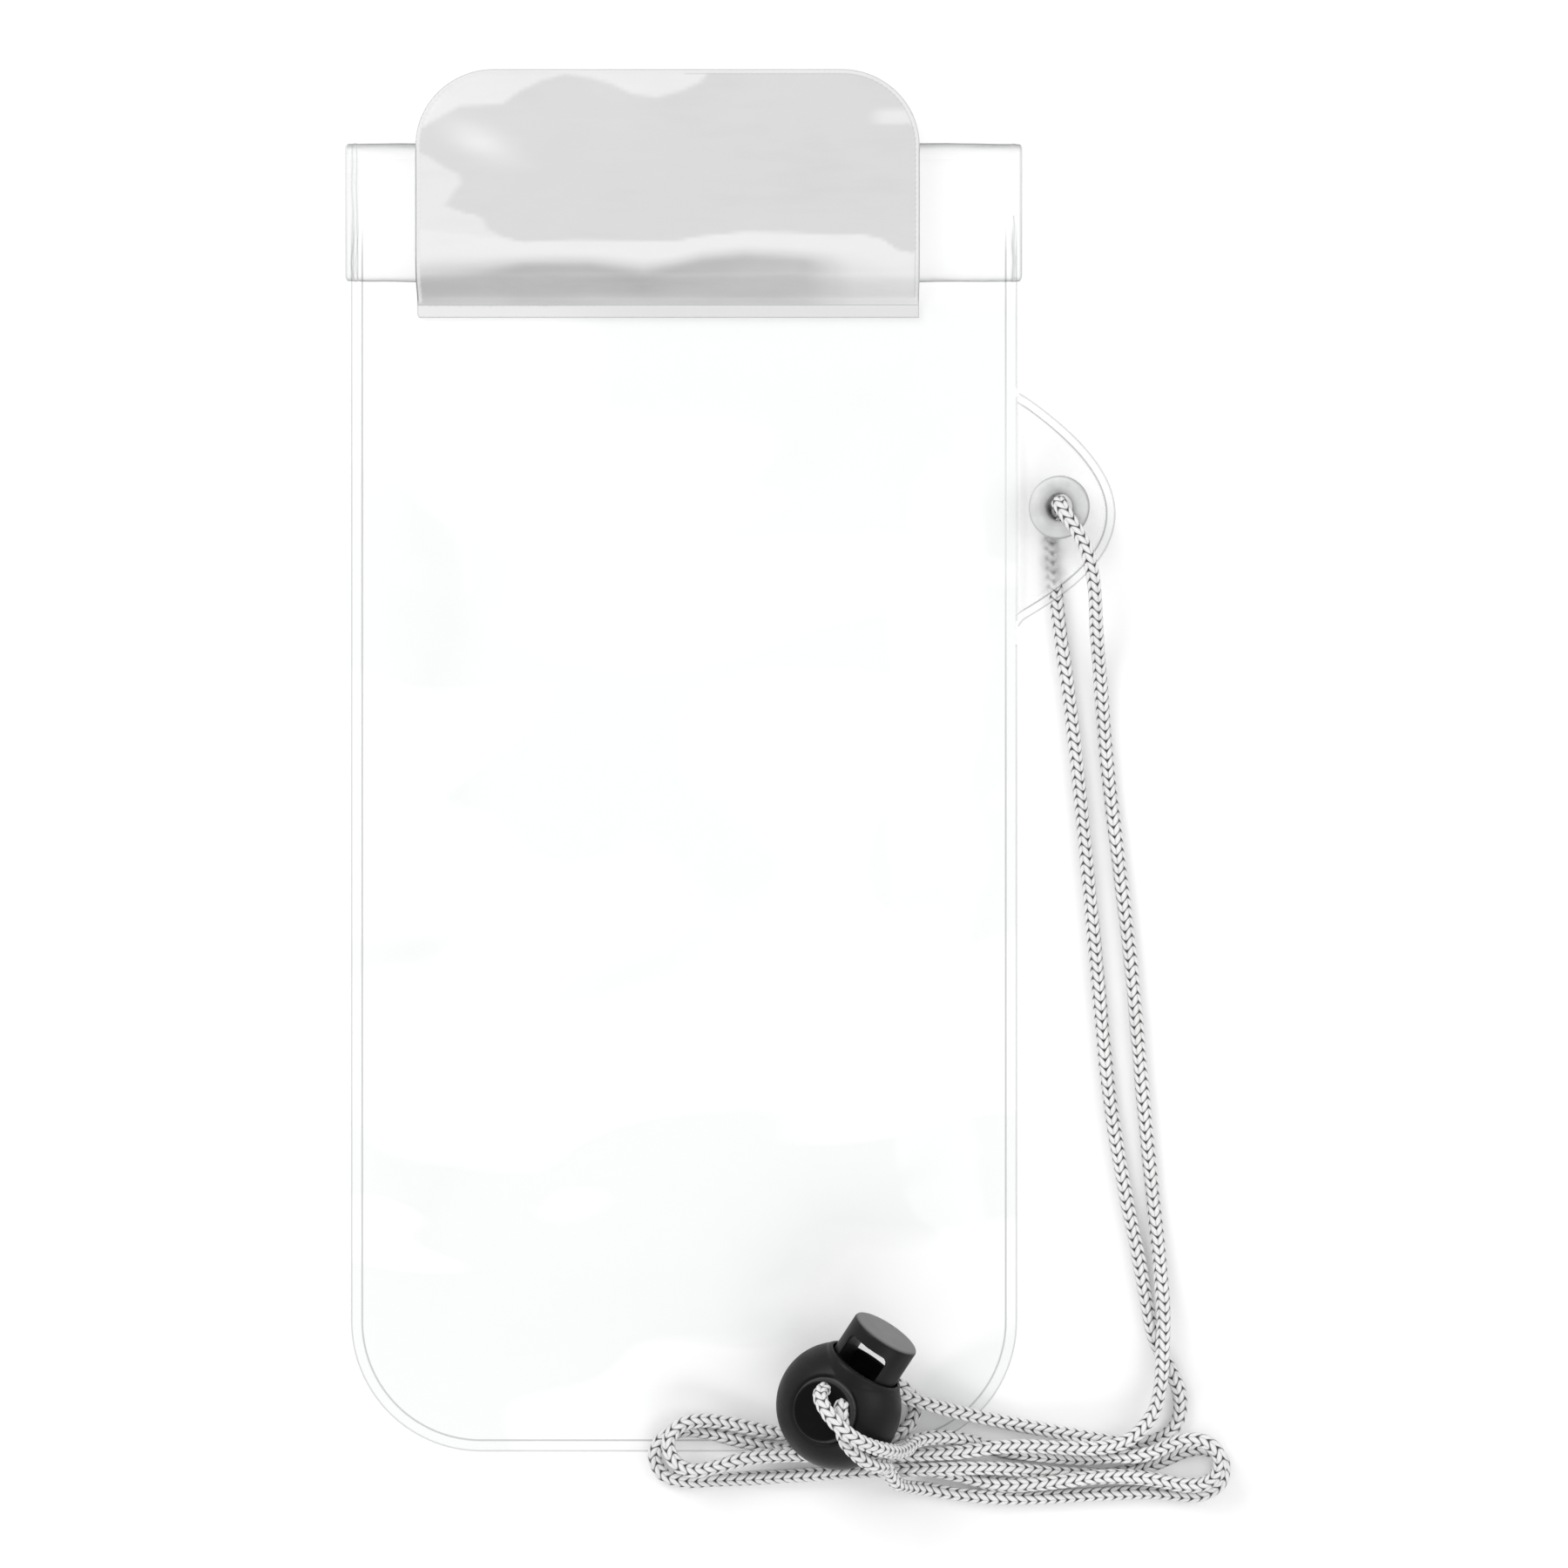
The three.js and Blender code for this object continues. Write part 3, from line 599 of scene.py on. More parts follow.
# Rolled mouth: both films together, folded down twice
roll = {
    "side": 55.7,
    "top": 108.0,
    "bottom": 84.6,
    "ply": 0.3,
    "inner": 1.3,
    "outer": 3.5,
    "innerEnd": 102.9,
    "ripple": 0.16,
    "ridge": 0.1,
    "endCorner": 1.2,
    "endLines": (1.25, 1.95),
    "endBand": 2.6,
    "slitTop": 96.0,
    "topShade": 0.55,
    "bottomShade": 0.16,
    "leftShades": {"band": 0.22, "rim": 0.45, "slit": 0.0},
    "rightShades": {"band": 0.1, "rim": 0.7, "slit": 0.85},
}


def rollPath():
    upper = (roll["outer"] - roll["ply"]) / 2
    lower = (roll["outer"] - roll["inner"]) / 2
    startY = roll["top"] - upper - roll["ply"]
    foldY = roll["bottom"] + lower + roll["ply"]
    return np.vstack([
        arc(startY, roll["ply"] + upper, upper, -90, 90, 22),
        evenly([[startY, roll["outer"]], [foldY, roll["outer"]]], 0.8)[1:-1],
        arc(foldY, roll["outer"] - lower, lower, 90, 270, 18),
        evenly([[foldY, roll["inner"]], [roll["innerEnd"], roll["inner"]]], 1.2)[1:],
    ])


# How dark the roll is at a point: painted shade in its bends and in the slit at its right end, and darker bands
# and lines along its end welds
def rollShade(x, y, z, end, toFirst, onTail):
    top = roll["topShade"] * math.exp(-max(roll["top"] - y, 0) / 1.7) * (z > roll["inner"] + 0.5)
    bottom = roll["bottomShade"] * math.exp(-max(y - roll["bottom"], 0) / 1.5)
    if onTail:
        return max(top, bottom)
    shades = roll["rightShades"] if x > 0 else roll["leftShades"]
    band = shades["band"] * smoothStep((roll["endBand"] - end) / 0.5)
    rim = shades["rim"] * math.exp(-(((end - 0.2) / 0.3) ** 2))
    slit = shades["slit"] * math.exp(-(((toFirst - 0.25) / 0.22) ** 2)) * smoothStep((roll["slitTop"] - y) / 6)
    return max(top, bottom, band, rim, slit)


def rollMesh():
    path = rollPath()
    xs = np.concatenate([
        -roll["side"] + np.linspace(0, 3, 16)[:-1],
        np.linspace(3 - roll["side"], roll["side"] - 3, 90),
        roll["side"] - np.linspace(3, 0, 16)[1:],
    ])
    tangent = np.gradient(path, axis=0)
    normal = np.column_stack([-tangent[:, 1], tangent[:, 0]]) / np.linalg.norm(tangent, axis=1)[:, None]
    points = []
    marks = {name: [] for name in ("pressed", "shade", "faded", "rimLine", "weldLine", "innerLine")}
    corner = roll["endCorner"]
    for row, (y, z) in enumerate(path):
        toFold = min(roll["top"] - y, y - roll["bottom"], corner)
        drawnIn = corner - math.sqrt(max(corner**2 - (corner - max(toFold, 0)) ** 2, 0))
        onTail = z < roll["inner"] + roll["ply"]
        onSlit = y < roll["slitTop"] and z > roll["inner"]
        for x in xs:
            wave = noise.noise(Vector((x / 16, row / 11, 2.0))) + 0.5 * noise.noise(Vector((x / 5, row / 6, 8.0)))
            end = roll["side"] - abs(x)
            x -= math.copysign(drawnIn * max(0, 1 - end / 3), x)
            wander = 0.45 * noise.noise(Vector((y / 4.1, 4.0 * (x > 0), z / 3)))
            toFirst = end - roll["endLines"][0] - wander
            toSecond = end - roll["endLines"][1] - wander * 0.6
            shift = roll["ripple"] * wave + roll["ridge"] * math.exp(-((toFirst / 0.25) ** 2))
            points.append((x, y - normal[row][0] * shift, z - normal[row][1] * shift))
            marks["pressed"].append(2 if onTail else 1)
            marks["shade"].append(rollShade(x, y, z, end, toFirst, onTail))
            marks["faded"].append(smoothStep((y - 90) / 9) if onTail else 0)
            marks["rimLine"].append(end)
            marks["weldLine"].append(toFirst if x < 0 or onSlit else bag["noLine"])
            marks["innerLine"].append(toSecond * 1.4 if x < 0 else bag["noLine"])
    obj = meshObject("rolled_mouth", points, gridFaces(len(path), len(xs)), clearFilm)
    for name, values in marks.items():
        setValues(obj, name, values)
    letLightThrough(obj)
    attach(obj, "pouch")
    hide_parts("back_sheet")


rollMesh()
print("rolled mouth done")


# Closure flap: welded below the roll, over it, and free beyond the top fold
flap = {
    "width": 82.7,
    "x": -2.6,
    "bottom": 79.1,
    "weldTop": 81.2,
    "top": 119.5,
    "corner": 12.7,
    "low": 0.8,
    "high": 5.9,
    "rise": 7.5,
    "droop": 0.9,
    "thick": 0.4,
    "emboss": 0.75,
    "embossDepth": 0.14,
    "wave": 0.22,
    "bendWave": 0.1,
    "weldTone": 1.3,
    "topHighlight": (
        (-42.9, 109.3), (-36.7, 112.9), (-29.6, 113.3), (-26.7, 115.5), (-23.1, 117.2), (-19.5, 118.2),
        (-15.2, 117.6), (-11.6, 116.5), (-8.7, 115.0), (-4.4, 114.3), (-0.1, 115.5), (2.8, 116.9),
        (4.2, 118.6), (5.7, 120.5),
    ),
    "sideHighlight": (
        (91.2, -27.0), (91.9, -29.6), (93.2, -32.1), (95.2, -33.0), (96.2, -37.0), (97.1, -39.0),
        (98.9, -37.9), (100.7, -36.4), (102.1, -36.7), (103.5, -39.6), (105.0, -41.6), (106.0, -44.5),
    ),
    "bandTop": (
        (-45.0, 93.5), (-32.1, 92.0), (-26.0, 91.2), (-18.0, 91.6), (-8.0, 91.5), (-1.5, 91.3), (2.8, 92.2),
        (10.0, 92.9), (17.2, 92.8), (24.4, 92.4), (29.4, 92.5), (32.6, 91.7), (35.2, 89.9), (38.8, 89.2),
    ),
    "bandDeep": (
        (-45.0, 83.8), (-32.0, 85.6), (-26.0, 86.7), (-15.2, 86.7), (-6.5, 85.3), (2.8, 87.4),
        (10.0, 88.1), (17.2, 87.7), (24.4, 87.0), (28.0, 85.6), (38.8, 83.4),
    ),
    "bandStrength": (
        (-45, 0.8), (-33, 0.75), (-27, 1.0), (5, 1.0), (20, 0.8), (28, -0.7), (38, -0.8),
    ),
}


def readTable(name, where):
    return np.interp(where, *np.array(flap[name]).T)


# 0 for the plain vinyl, up to 1 for painted highlights and down to -1 for painted shade in the bend
def flapHighlightAndShade(points):
    x, y = points[:, 0], points[:, 1]
    # painted highlights at the top left, down the left side, in a patch at the upper left and in the upper right
    # corner
    tone = np.where(x < 5.7, smoothStep((y - readTable("topHighlight", x)) / 0.9), 0) * 0.9
    side = smoothStep((readTable("sideHighlight", y) - x) / 1.6 + 0.5) * ((y > 91) & (y < 106.5))
    tone = np.maximum(tone, 0.75 * side)
    patch = ((x + 33.6) / 5.5) ** 2 + ((y - 107.6 + 0.35 * (x + 33.6)) / 2.6) ** 2
    tone = np.maximum(tone, 0.85 * np.exp(-patch))
    corner = smoothStep((x - 29.5) / 4) * smoothStep((y - 110.1) / 0.7) * smoothStep((113.6 - y) / 1.6)
    tone = np.maximum(tone, 0.85 * corner)
    # the belt over the roll's lower fold: a painted highlight at its top, painted shade towards the bend
    top, deep, strength = (readTable(name, x) for name in ("bandTop", "bandDeep", "bandStrength"))
    fall = (top - y) / (top - deep)
    belt = np.where(fall < 0.42, 1, 1 - (1 + 0.9 * strength) * smoothStep((fall - 0.42) / 0.58))
    below = np.where(y < deep, np.clip((deep - y) / 4.0, 0, 1), 0)
    belt = np.where(y < deep, -0.9 * strength * (1 - 0.5 * below), belt)
    share = smoothStep((top - y) / 0.6 + 0.2)
    return tone * (1 - share) + belt * share


def flapLoop(inset):
    left, right = flap["x"] - flap["width"] / 2, flap["x"] + flap["width"] / 2
    corner, cornerY = flap["corner"], flap["top"] - flap["corner"]
    return np.vstack([
        [[right - inset, flap["bottom"] + inset]],
        arc(right - corner, cornerY, corner - inset, 0, 90, 16),
        arc(left + corner, cornerY, corner - inset, 90, 180, 16),
        [[left + inset, flap["bottom"] + inset]],
    ])


def flapMesh():
    outline = evenly(flapLoop(0), 0.8, closed=True)
    rings = [evenly(flapLoop(inset), 0.9, closed=True) for inset in (0.25, 0.5, 0.65, 0.8, 0.95, 1.15, 1.5)]
    halfWidth = flap["width"] / 2
    row = np.arange(flap["x"] - halfWidth + 1.6, flap["x"] + halfWidth - 1.5, 1.0)
    for y in (81.0, 81.2, 81.5, 82.0, 82.6, 83.2, 83.8, 84.5, 85.2, 86.0, 87.0, 88.0, 88.8):
        rings.append(np.column_stack([row, np.full(len(row), y)]))
    points, faces = fillOutline(outline, rings, 0.65, 0.3)
    x, y = points.T
    aboveWeld = y - flap["weldTop"]
    bend = bezier(
        (0, flap["low"]), (0.4 * flap["rise"], flap["low"]),
        (0.3 * flap["rise"], flap["high"]), (flap["rise"], flap["high"]), 60,
    )
    height = np.interp(aboveWeld, bend[:, 0], bend[:, 1]) - flap["droop"] * smoothStep((y - 106) / 14.2)
    inset = distanceTo(outline, points, closed=True)
    wavy = softNoise(points, 14.0, 5.0) + 0.45 * softNoise(points, 6.0, 9.0)
    height += flap["wave"] * wavy * smoothStep((y - 83) / 6)
    height += flap["bendWave"] * softNoise(points, 3.2, 1.0) * bump(y - 84.5, 2.2)
    height -= flap["embossDepth"] * np.where(aboveWeld > 1, bump(inset - flap["emboss"], 0.16), 0)
    obj = meshObject("flap", np.column_stack([points, height]), faces, whiteVinyl)

    # a painted highlight along the flap's rim
    rimHighlight = smoothStep((0.85 - inset) / 0.3) * smoothStep(aboveWeld)
    onWeld = smoothStep((0.1 - aboveWeld) / 0.5)
    atLeft = smoothStep((-x - 4) / 24)
    tone = flapHighlightAndShade(points) * (1 - rimHighlight) + 0.85 * rimHighlight
    onRoll = smoothStep((roll["top"] - y) / 2) * smoothStep(aboveWeld)
    # the tone attribute holds the painted highlights and shade, and on the weld the weld's own tone
    setValues(obj, "tone", tone * (1 - onWeld) + flap["weldTone"] * onWeld)
    setValues(obj, "weldShare", onWeld * (1 - 0.85 * atLeft))
    # painted shadow in the gap along the rim where it lies over the roll, stronger on the left
    setValues(obj, "rimGapShadow", onRoll * np.where(x < 0, 0.9 - 0.4 * smoothStep((y - 84) / 8), 0.35))
    setValues(obj, "rimLine", inset)
    setValues(obj, "weldLine", aboveWeld)
    setValues(obj, "innerLine", np.where((aboveWeld > 1) & (x > 0), inset - flap["emboss"], bag["noLine"]))
    thick = obj.modifiers.new("thickness", "SOLIDIFY")
    thick.thickness = flap["thick"] * mm
    thick.offset = 0
    thick.use_even_offset = True
    applyModifiers(obj)
    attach(obj, "pouch")
    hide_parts("closure_flap")


flapMesh()
print("flap done")


# Neck cord: one knitted cord, from the eyelet through its loops and the lock, back to the eyelet
cord = {
    "diameter": 2.5,
    "step": 0.27,
    "sides": 18,
    "pitch": 1.58,
    "columns": 3,
    "slope": 1.5,
    "legPower": 0.55,
    "widePower": 0.4,
    "relief": 0.2,
    "swell": 0.03,
    "twist": 0.5,
    # gapShade is the colour of the painted shade in the gaps between stitches
    "gapShade": (0.035, 0.03, 0.032, 1),
    "yarn": ((0.79, 0.79, 0.785, 1), (0.97, 0.97, 0.965, 1)),
    "soiled": (0.70, 0.70, 0.70, 1),
}
cordPoints = [
    (61.8, 48.4, 4.9), (61.6, 48.1, 6.3), (62.1, 47.1, 7.7), (63.1, 45.5, 8.5), (64.6, 43.2, 8.8),
    (66.0, 40.3, 8.7), (66.9, 36.9, 8.0), (67.4, 33.5, 7.0), (67.8, 27.8, 4.7), (68.4, 21.6, 2.6),
    (69.0, 14.4, 1.5), (69.8, 5.0, 1.3), (71.7, -10.8, 1.3), (73.6, -26.6, 1.3), (75.7, -49.6, 1.3),
    (77.4, -66.9, 1.4), (78.4, -76.9, 2.2), (78.9, -85.6, 3.6), (78.7, -91.3, 4.0), (78.4, -96.3, 4.1),
    (77.4, -100.6, 4.2), (75.0, -104.0, 4.4), (72.0, -106.0, 4.8), (68.0, -106.8, 5.0), (63.2, -106.8, 4.9),
    (57.5, -106.6, 4.4), (51.7, -106.8, 3.9), (45.2, -107.7, 3.9), (38.0, -108.0, 4.2), (30.9, -108.0, 4.7),
    (23.7, -108.0, 4.8), (16.5, -108.0, 4.8), (10.0, -108.6, 4.9), (5.1, -109.9, 5.3), (1.2, -110.3, 6.0),
    (-1.5, -108.7, 6.3), (-2.4, -105.5, 5.8), (-0.5, -103.1, 4.9), (3.0, -102.4, 3.9), (8.1, -103.1, 2.9),
    (13.6, -104.4, 2.3), (20.8, -105.4, 2.2), (27.2, -106.0, 2.2), (32.6, -105.7, 2.2), (36.3, -104.1, 2.3),
    (38.0, -101.2, 2.4), (37.2, -98.2, 2.4), (34.3, -96.1, 3.0), (31.7, -95.3, 3.9), (28.1, -95.1, 7.2),
    (26.6, -95.1, 11.1), (24.8, -95.1, 15.8), (23.4, -95.2, 19.3), (22.3, -96.1, 23.0), (23.2, -98.1, 25.3),
    (25.3, -100.6, 26.2), (28.2, -102.9, 25.1), (31.1, -104.5, 22.3), (33.7, -105.6, 18.2), (35.3, -106.1, 14.2),
    (36.6, -106.1, 10.6), (37.9, -105.4, 7.5), (40.5, -105.1, 5.2), (43.8, -105.3, 3.3), (48.1, -106.4, 1.6),
    (52.4, -107.7, 1.3), (57.5, -108.4, 1.3), (63.2, -108.9, 1.3), (67.5, -108.9, 1.9), (71.1, -108.4, 3.2),
    (74.0, -108.3, 3.9), (77.2, -107.6, 4.3), (79.5, -106.4, 5.2), (82.0, -105.3, 6.6), (85.1, -105.3, 7.6),
    (87.4, -107.1, 7.8), (87.7, -110.2, 6.8), (85.6, -112.5, 5.4), (82.0, -112.9, 4.6), (78.6, -112.3, 4.2),
    (74.0, -111.7, 4.0), (68.2, -111.7, 3.9), (63.2, -112.3, 3.8), (58.2, -112.9, 3.3), (53.1, -113.2, 2.3),
    (48.8, -112.6, 1.5), (44.5, -111.6, 1.3), (38.0, -110.3, 1.3), (30.9, -109.1, 1.7), (25.1, -108.4, 2.1),
    (16.5, -107.7, 2.1), (9.3, -106.0, 2.0), (4.1, -104.7, 1.9), (-0.2, -104.3, 1.9), (-3.5, -105.7, 1.9),
    (-4.8, -108.6, 1.7), (-3.4, -111.5, 1.5), (0.1, -112.6, 1.4), (5.0, -112.5, 1.3), (16.5, -111.9, 1.3),
    (22.2, -111.5, 1.7), (28.0, -110.9, 3.2), (33.7, -110.6, 3.9), (39.5, -110.4, 3.9), (48.1, -110.2, 3.8),
    (52.4, -110.4, 2.9), (56.7, -110.9, 1.9), (60.3, -111.3, 1.3), (65.4, -111.6, 1.3), (69.7, -111.7, 1.3),
    (75.4, -110.6, 1.3), (79.5, -109.1, 1.3), (82.9, -107.7, 1.3), (86.2, -107.4, 1.4), (88.7, -109.3, 1.6),
    (88.4, -112.9, 1.7), (85.2, -114.9, 1.5), (81.2, -114.9, 1.3), (77.6, -114.6, 1.3), (74.0, -114.6, 1.3),
    (65.4, -115.0, 1.3), (53.9, -115.5, 1.3), (45.2, -114.9, 1.3), (39.8, -113.9, 1.9), (36.9, -113.3, 4.2),
    (34.9, -112.2, 7.6), (33.2, -109.3, 11.4), (32.8, -108.3, 15.6), (31.2, -107.9, 18.6), (28.7, -106.2, 20.9),
    (26.3, -103.3, 22.4), (25.8, -100.6, 23.1), (25.7, -98.2, 21.9), (26.6, -97.3, 19.2), (27.8, -97.2, 15.8),
    (28.9, -97.2, 13.0), (30.1, -97.3, 9.6), (31.4, -96.8, 5.9), (33.6, -97.3, 5.6), (36.3, -98.4, 5.3),
    (39.8, -99.5, 4.5), (43.8, -100.8, 3.0), (48.8, -102.1, 1.9), (53.9, -103.2, 1.4), (59.6, -104.3, 1.3),
    (65.4, -105.4, 1.3), (68.8, -106.0, 1.3), (73.7, -106.6, 1.3), (77.4, -106.1, 1.3), (80.3, -104.4, 1.3),
    (81.6, -102.1, 1.3), (81.7, -98.5, 1.3), (80.0, -94.0, 1.3), (77.7, -89.5, 1.3), (76.3, -83.3, 1.3),
    (74.8, -75.1, 1.3), (73.1, -66.9, 1.3), (70.2, -49.6, 1.3), (67.9, -26.6, 1.3), (66.4, -10.8, 1.3),
    (64.8, 5.0, 1.3), (63.5, 16.5, 1.3), (62.0, 27.3, 1.3), (61.3, 33.8, 1.3), (61.0, 39.5, 1.3),
    (61.0, 43.5, 1.3), (61.2, 46.2, 1.7), (61.6, 47.9, 3.0), (61.8, 48.4, 4.9),
]


# A centripetal Catmull-Rom line through the points
def smoothPath(points):
    p = np.array(points, float)
    p = np.vstack([2 * p[0] - p[1], p, 2 * p[-1] - p[-2]])
    out = []
    for a, b, c, d in zip(p[:-3], p[1:-2], p[2:-1], p[3:]):
        t1 = np.linalg.norm(b - a) ** 0.5
        t2 = t1 + np.linalg.norm(c - b) ** 0.5
        t3 = t2 + np.linalg.norm(d - c) ** 0.5
        count = max(2, int(np.linalg.norm(c - b) / 0.12))
        t = np.linspace(t1, t2, count, endpoint=False)[:, None]
        ab = (t1 - t) / t1 * a + t / t1 * b
        bc = (t2 - t) / (t2 - t1) * b + (t - t1) / (t2 - t1) * c
        cd = (t3 - t) / (t3 - t2) * c + (t - t2) / (t3 - t2) * d
        left = (t2 - t) / t2 * ab + t / t2 * bc
        right = (t3 - t) / (t3 - t1) * bc + (t - t1) / (t3 - t1) * cd
        out.append((t2 - t) / (t2 - t1) * left + (t - t1) / (t2 - t1) * right)
    return evenly(np.vstack(out + [p[-2:-1]]), cord["step"])


def cordMaterial():
    material, tree = newMaterial("knitted cord")
    uv = addNode(tree, "ShaderNodeUVMap", uv_map="knit").outputs[0]
    along, around = addNode(tree, "ShaderNodeSeparateXYZ", {0: uv}).outputs[:2]
    column = maths(tree, "MULTIPLY", around, float(cord["columns"]))
    across = maths(tree, "ABSOLUTE", maths(tree, "SUBTRACT", maths(tree, "FRACT", column), 0.5))
    # each stitch is a V: its phase slides along the cord from the column's middle to its side
    phase = maths(tree, "FRACT", maths(tree, "SUBTRACT", along, maths(tree, "MULTIPLY", across, cord["slope"])))
    leg = maths(tree, "SINE", maths(tree, "MULTIPLY", phase, math.pi))
    wide = maths(tree, "SINE", maths(tree, "MULTIPLY", across, 2 * math.pi))
    raisedLeg = maths(tree, "POWER", leg, cord["legPower"])
    body = maths(tree, "MULTIPLY", raisedLeg, maths(tree, "POWER", wide, cord["widePower"]))
    # painted shade in the gaps between stitches, widest where two legs meet
    holes = maths(tree, "ADD", leg, maths(tree, "MULTIPLY", wide, 0.45))
    stretched = addNode(tree, "ShaderNodeMapping", {0: uv, 3: (3.0, 60.0, 1.0)}).outputs[0]
    fibres = noiseMap(tree, stretched, 4.0, 3.0, 0.7)
    patches = noiseMap(tree, objectCoords(tree), 130.0, 2.0, 0.5)
    yarn = mixColour(tree, spread(tree, fibres, 0.3, 0.7), *cord["yarn"])
    yarn = mixColour(tree, spread(tree, patches, 0.4, 0.65, 0.0, 0.3), yarn, cord["soiled"])
    colour = mixColour(tree, spread(tree, holes, 0.4, 0.82), cord["gapShade"], yarn)
    height = maths(tree, "ADD", body, maths(tree, "MULTIPLY", fibres, 0.12))
    relief = bumpMap(tree, height, 0.00032, Strength=0.9)
    shader = principled(
        tree, Base_Color=colour, Roughness=0.42, Sheen_Weight=0.3, Sheen_Roughness=0.4, Normal=relief,
    )
    output(tree, shader)
    return material


def stitchTurn(tangent, normals, binormals):
    # keeps a row of stitches on top of the lying cord, with a slow twist in it
    flat = (1 - tangent[:, 2] ** 2) ** 2
    up = np.unwrap(np.arctan2(binormals[:, 2], normals[:, 2]))
    reach = int(9 / cord["step"])
    window = np.hanning(2 * reach + 1)
    weight = np.convolve(np.pad(flat, reach, "edge"), window, "valid")
    turn = np.convolve(np.pad(up * flat, reach, "edge"), window, "valid") / weight
    share = np.linspace(0, 1, len(tangent))
    wanted = np.pi * smoothStep((share - 0.45) / 0.1) + cord["twist"] * np.sin(share * 37 + 1.2)
    return turn - wanted


def cordMesh(path):
    sides = cord["sides"]
    tangent = np.gradient(path, axis=0)
    tangent /= np.linalg.norm(tangent, axis=1)[:, None]
    normal = np.cross(tangent[0], (1.0, 0.0, 0.0))
    normal /= np.linalg.norm(normal)
    normals = [normal]
    for k in range(1, len(path)):
        normal = normal - tangent[k] * (normal @ tangent[k])
        normal /= np.linalg.norm(normal)
        normals.append(normal)
    normals = np.array(normals)
    binormals = np.cross(tangent, normals)
    along = np.arange(len(path)) * cord["step"] / cord["pitch"]
    around = np.arange(sides + 1) / sides
    angle = around[:-1][None, :] * 2 * np.pi + stitchTurn(tangent, normals, binormals)[:, None]
    column = np.abs((around[:-1] * cord["columns"]) % 1 - 0.5)
    phase = (along[:, None] - column[None, :] * cord["slope"]) % 1
    wide = np.sin(2 * np.pi * column)[None, :].clip(0, 1)
    body = np.sin(np.pi * phase) ** cord["legPower"] * wide ** cord["widePower"]
    radius = cord["diameter"] / 2 - cord["relief"] * (1 - body) + cord["swell"] * np.sin(along * 0.9)[:, None]
    cosine, sine = np.cos(angle)[:, :, None], np.sin(angle)[:, :, None]
    outward = cosine * normals[:, None, :] + sine * binormals[:, None, :]
    points = (path[:, None, :] + radius[:, :, None] * outward).reshape(-1, 3)
    faces = [
        (r * sides + i, r * sides + (i + 1) % sides, (r + 1) * sides + (i + 1) % sides, (r + 1) * sides + i)
        for r in range(len(path) - 1)
        for i in range(sides)
    ]
    last = (len(path) - 1) * sides
    faces += [tuple(range(sides))[::-1], tuple(range(last, last + sides))]
    obj = meshObject("neck_cord", points, faces, cordMaterial())
    layer = obj.data.uv_layers.new(name="knit")
    values = np.zeros((len(obj.data.loops), 2), np.float32)
    spot = 0
    for r in range(len(path) - 1):
        for i in range(sides):
            values[spot:spot + 4] = (
                (along[r], around[i]), (along[r], around[i + 1]),
                (along[r + 1], around[i + 1]), (along[r + 1], around[i]),
            )
            spot += 4
    layer.data.foreach_set("uv", values.ravel())
    return obj


cordPath = smoothPath(cordPoints)
neckCord = cordMesh(cordPath)
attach(neckCord, "pouch")
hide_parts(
    "cord_front_strand", "cord_back_strand", "cord_loops", "cord_lock_strand_left", "cord_lock_strand_right",
)


# Cord lock: a round body with a collar, and the push button in it
lock = {
    "centre": (25.4, -98.9, 12.8),
    "turn": 20.5,
    "lean": 32.5,
    "radius": 10.4,
    "half": 7.3,
    "hole": 5.0,
    "rim": 5.9,
    "collar": 6.9,
    "collarTop": 8.3,
    "button": 5.8,
    "buttonTop": 14.8,
    "cap": 2.4,
    "grip": 1.85,
    "gripBottom": -1.15,
    "gripDepth": 3.4,
    "window": 7.2,
    "bore": 6.1,
    "boreFloor": -5.45,
    "chamber": 3.9,
    "chamberFloor": -8.65,
    "cup": 3.6,
    "cupBottom": -4.35,
    "cupWall": 0.6,
    "softness": 0.2,
    "buttonSoftness": 0.17,
    "colour": (0.006, 0.006, 0.0065),
    "paintedGlint": (0.16, 0.16, 0.16, 1),
    "rough": (0.36, 0.5),
    "specular": (0.2, 0.03),
    "grainHeight": 0.00003,
}


def lockMatrix():
    turn, lean = math.radians(lock["turn"]), math.radians(lock["lean"])
    hole = Vector((-math.sin(turn), 0, math.cos(turn)))
    button = Vector((math.sin(lean), math.cos(lean), math.sin(lean) * math.tan(turn))).normalized()
    across = button.cross(hole)
    place = Matrix((across, button, hole)).transposed().to_4x4()
    place.translation = Vector(lock["centre"])
    return place


lockPlace = lockMatrix()


def plasticMaterial():
    material, tree = newMaterial("black plastic")
    coords = objectCoords(tree)
    relief = bumpMap(tree, noiseMap(tree, coords, 1400.0, 4.0, 0.6), lock["grainHeight"])
    smears = noiseMap(tree, coords, 160.0, 3.0, 0.5, 0.4)
    plain, smeared = (*lock["colour"], 1), (*(1.6 * c for c in lock["colour"]), 1)
    shade = mixColour(tree, spread(tree, smears, 0.3, 0.7, 0, 0.4), plain, smeared)
    # a painted glint, lighter grey on the hole's rim and the button's end
    shade = mixColour(tree, attribute(tree, "paintedGlint"), shade, lock["paintedGlint"])
    shader = principled(
        tree, Base_Color=shade, Normal=relief,
        Specular_IOR_Level=spread(tree, attribute(tree, "inside"), 0.0, 1.0, *lock["specular"]),
        Roughness=spread(tree, smears, 0.3, 0.7, *lock["rough"]),
    )
    output(tree, shader)
    return material


blackPlastic = plasticMaterial()


# Joins points that coincide, such as those on a turned piece's axis
def clean(obj):
    work = bmesh.new()
    work.from_mesh(obj.data)
    bmesh.ops.remove_doubles(work, verts=work.verts, dist=1e-7)
    bmesh.ops.dissolve_degenerate(work, edges=work.edges, dist=1e-8)
    bmesh.ops.recalc_face_normals(work, faces=work.faces)
    work.to_mesh(obj.data)
    work.free()
    return obj


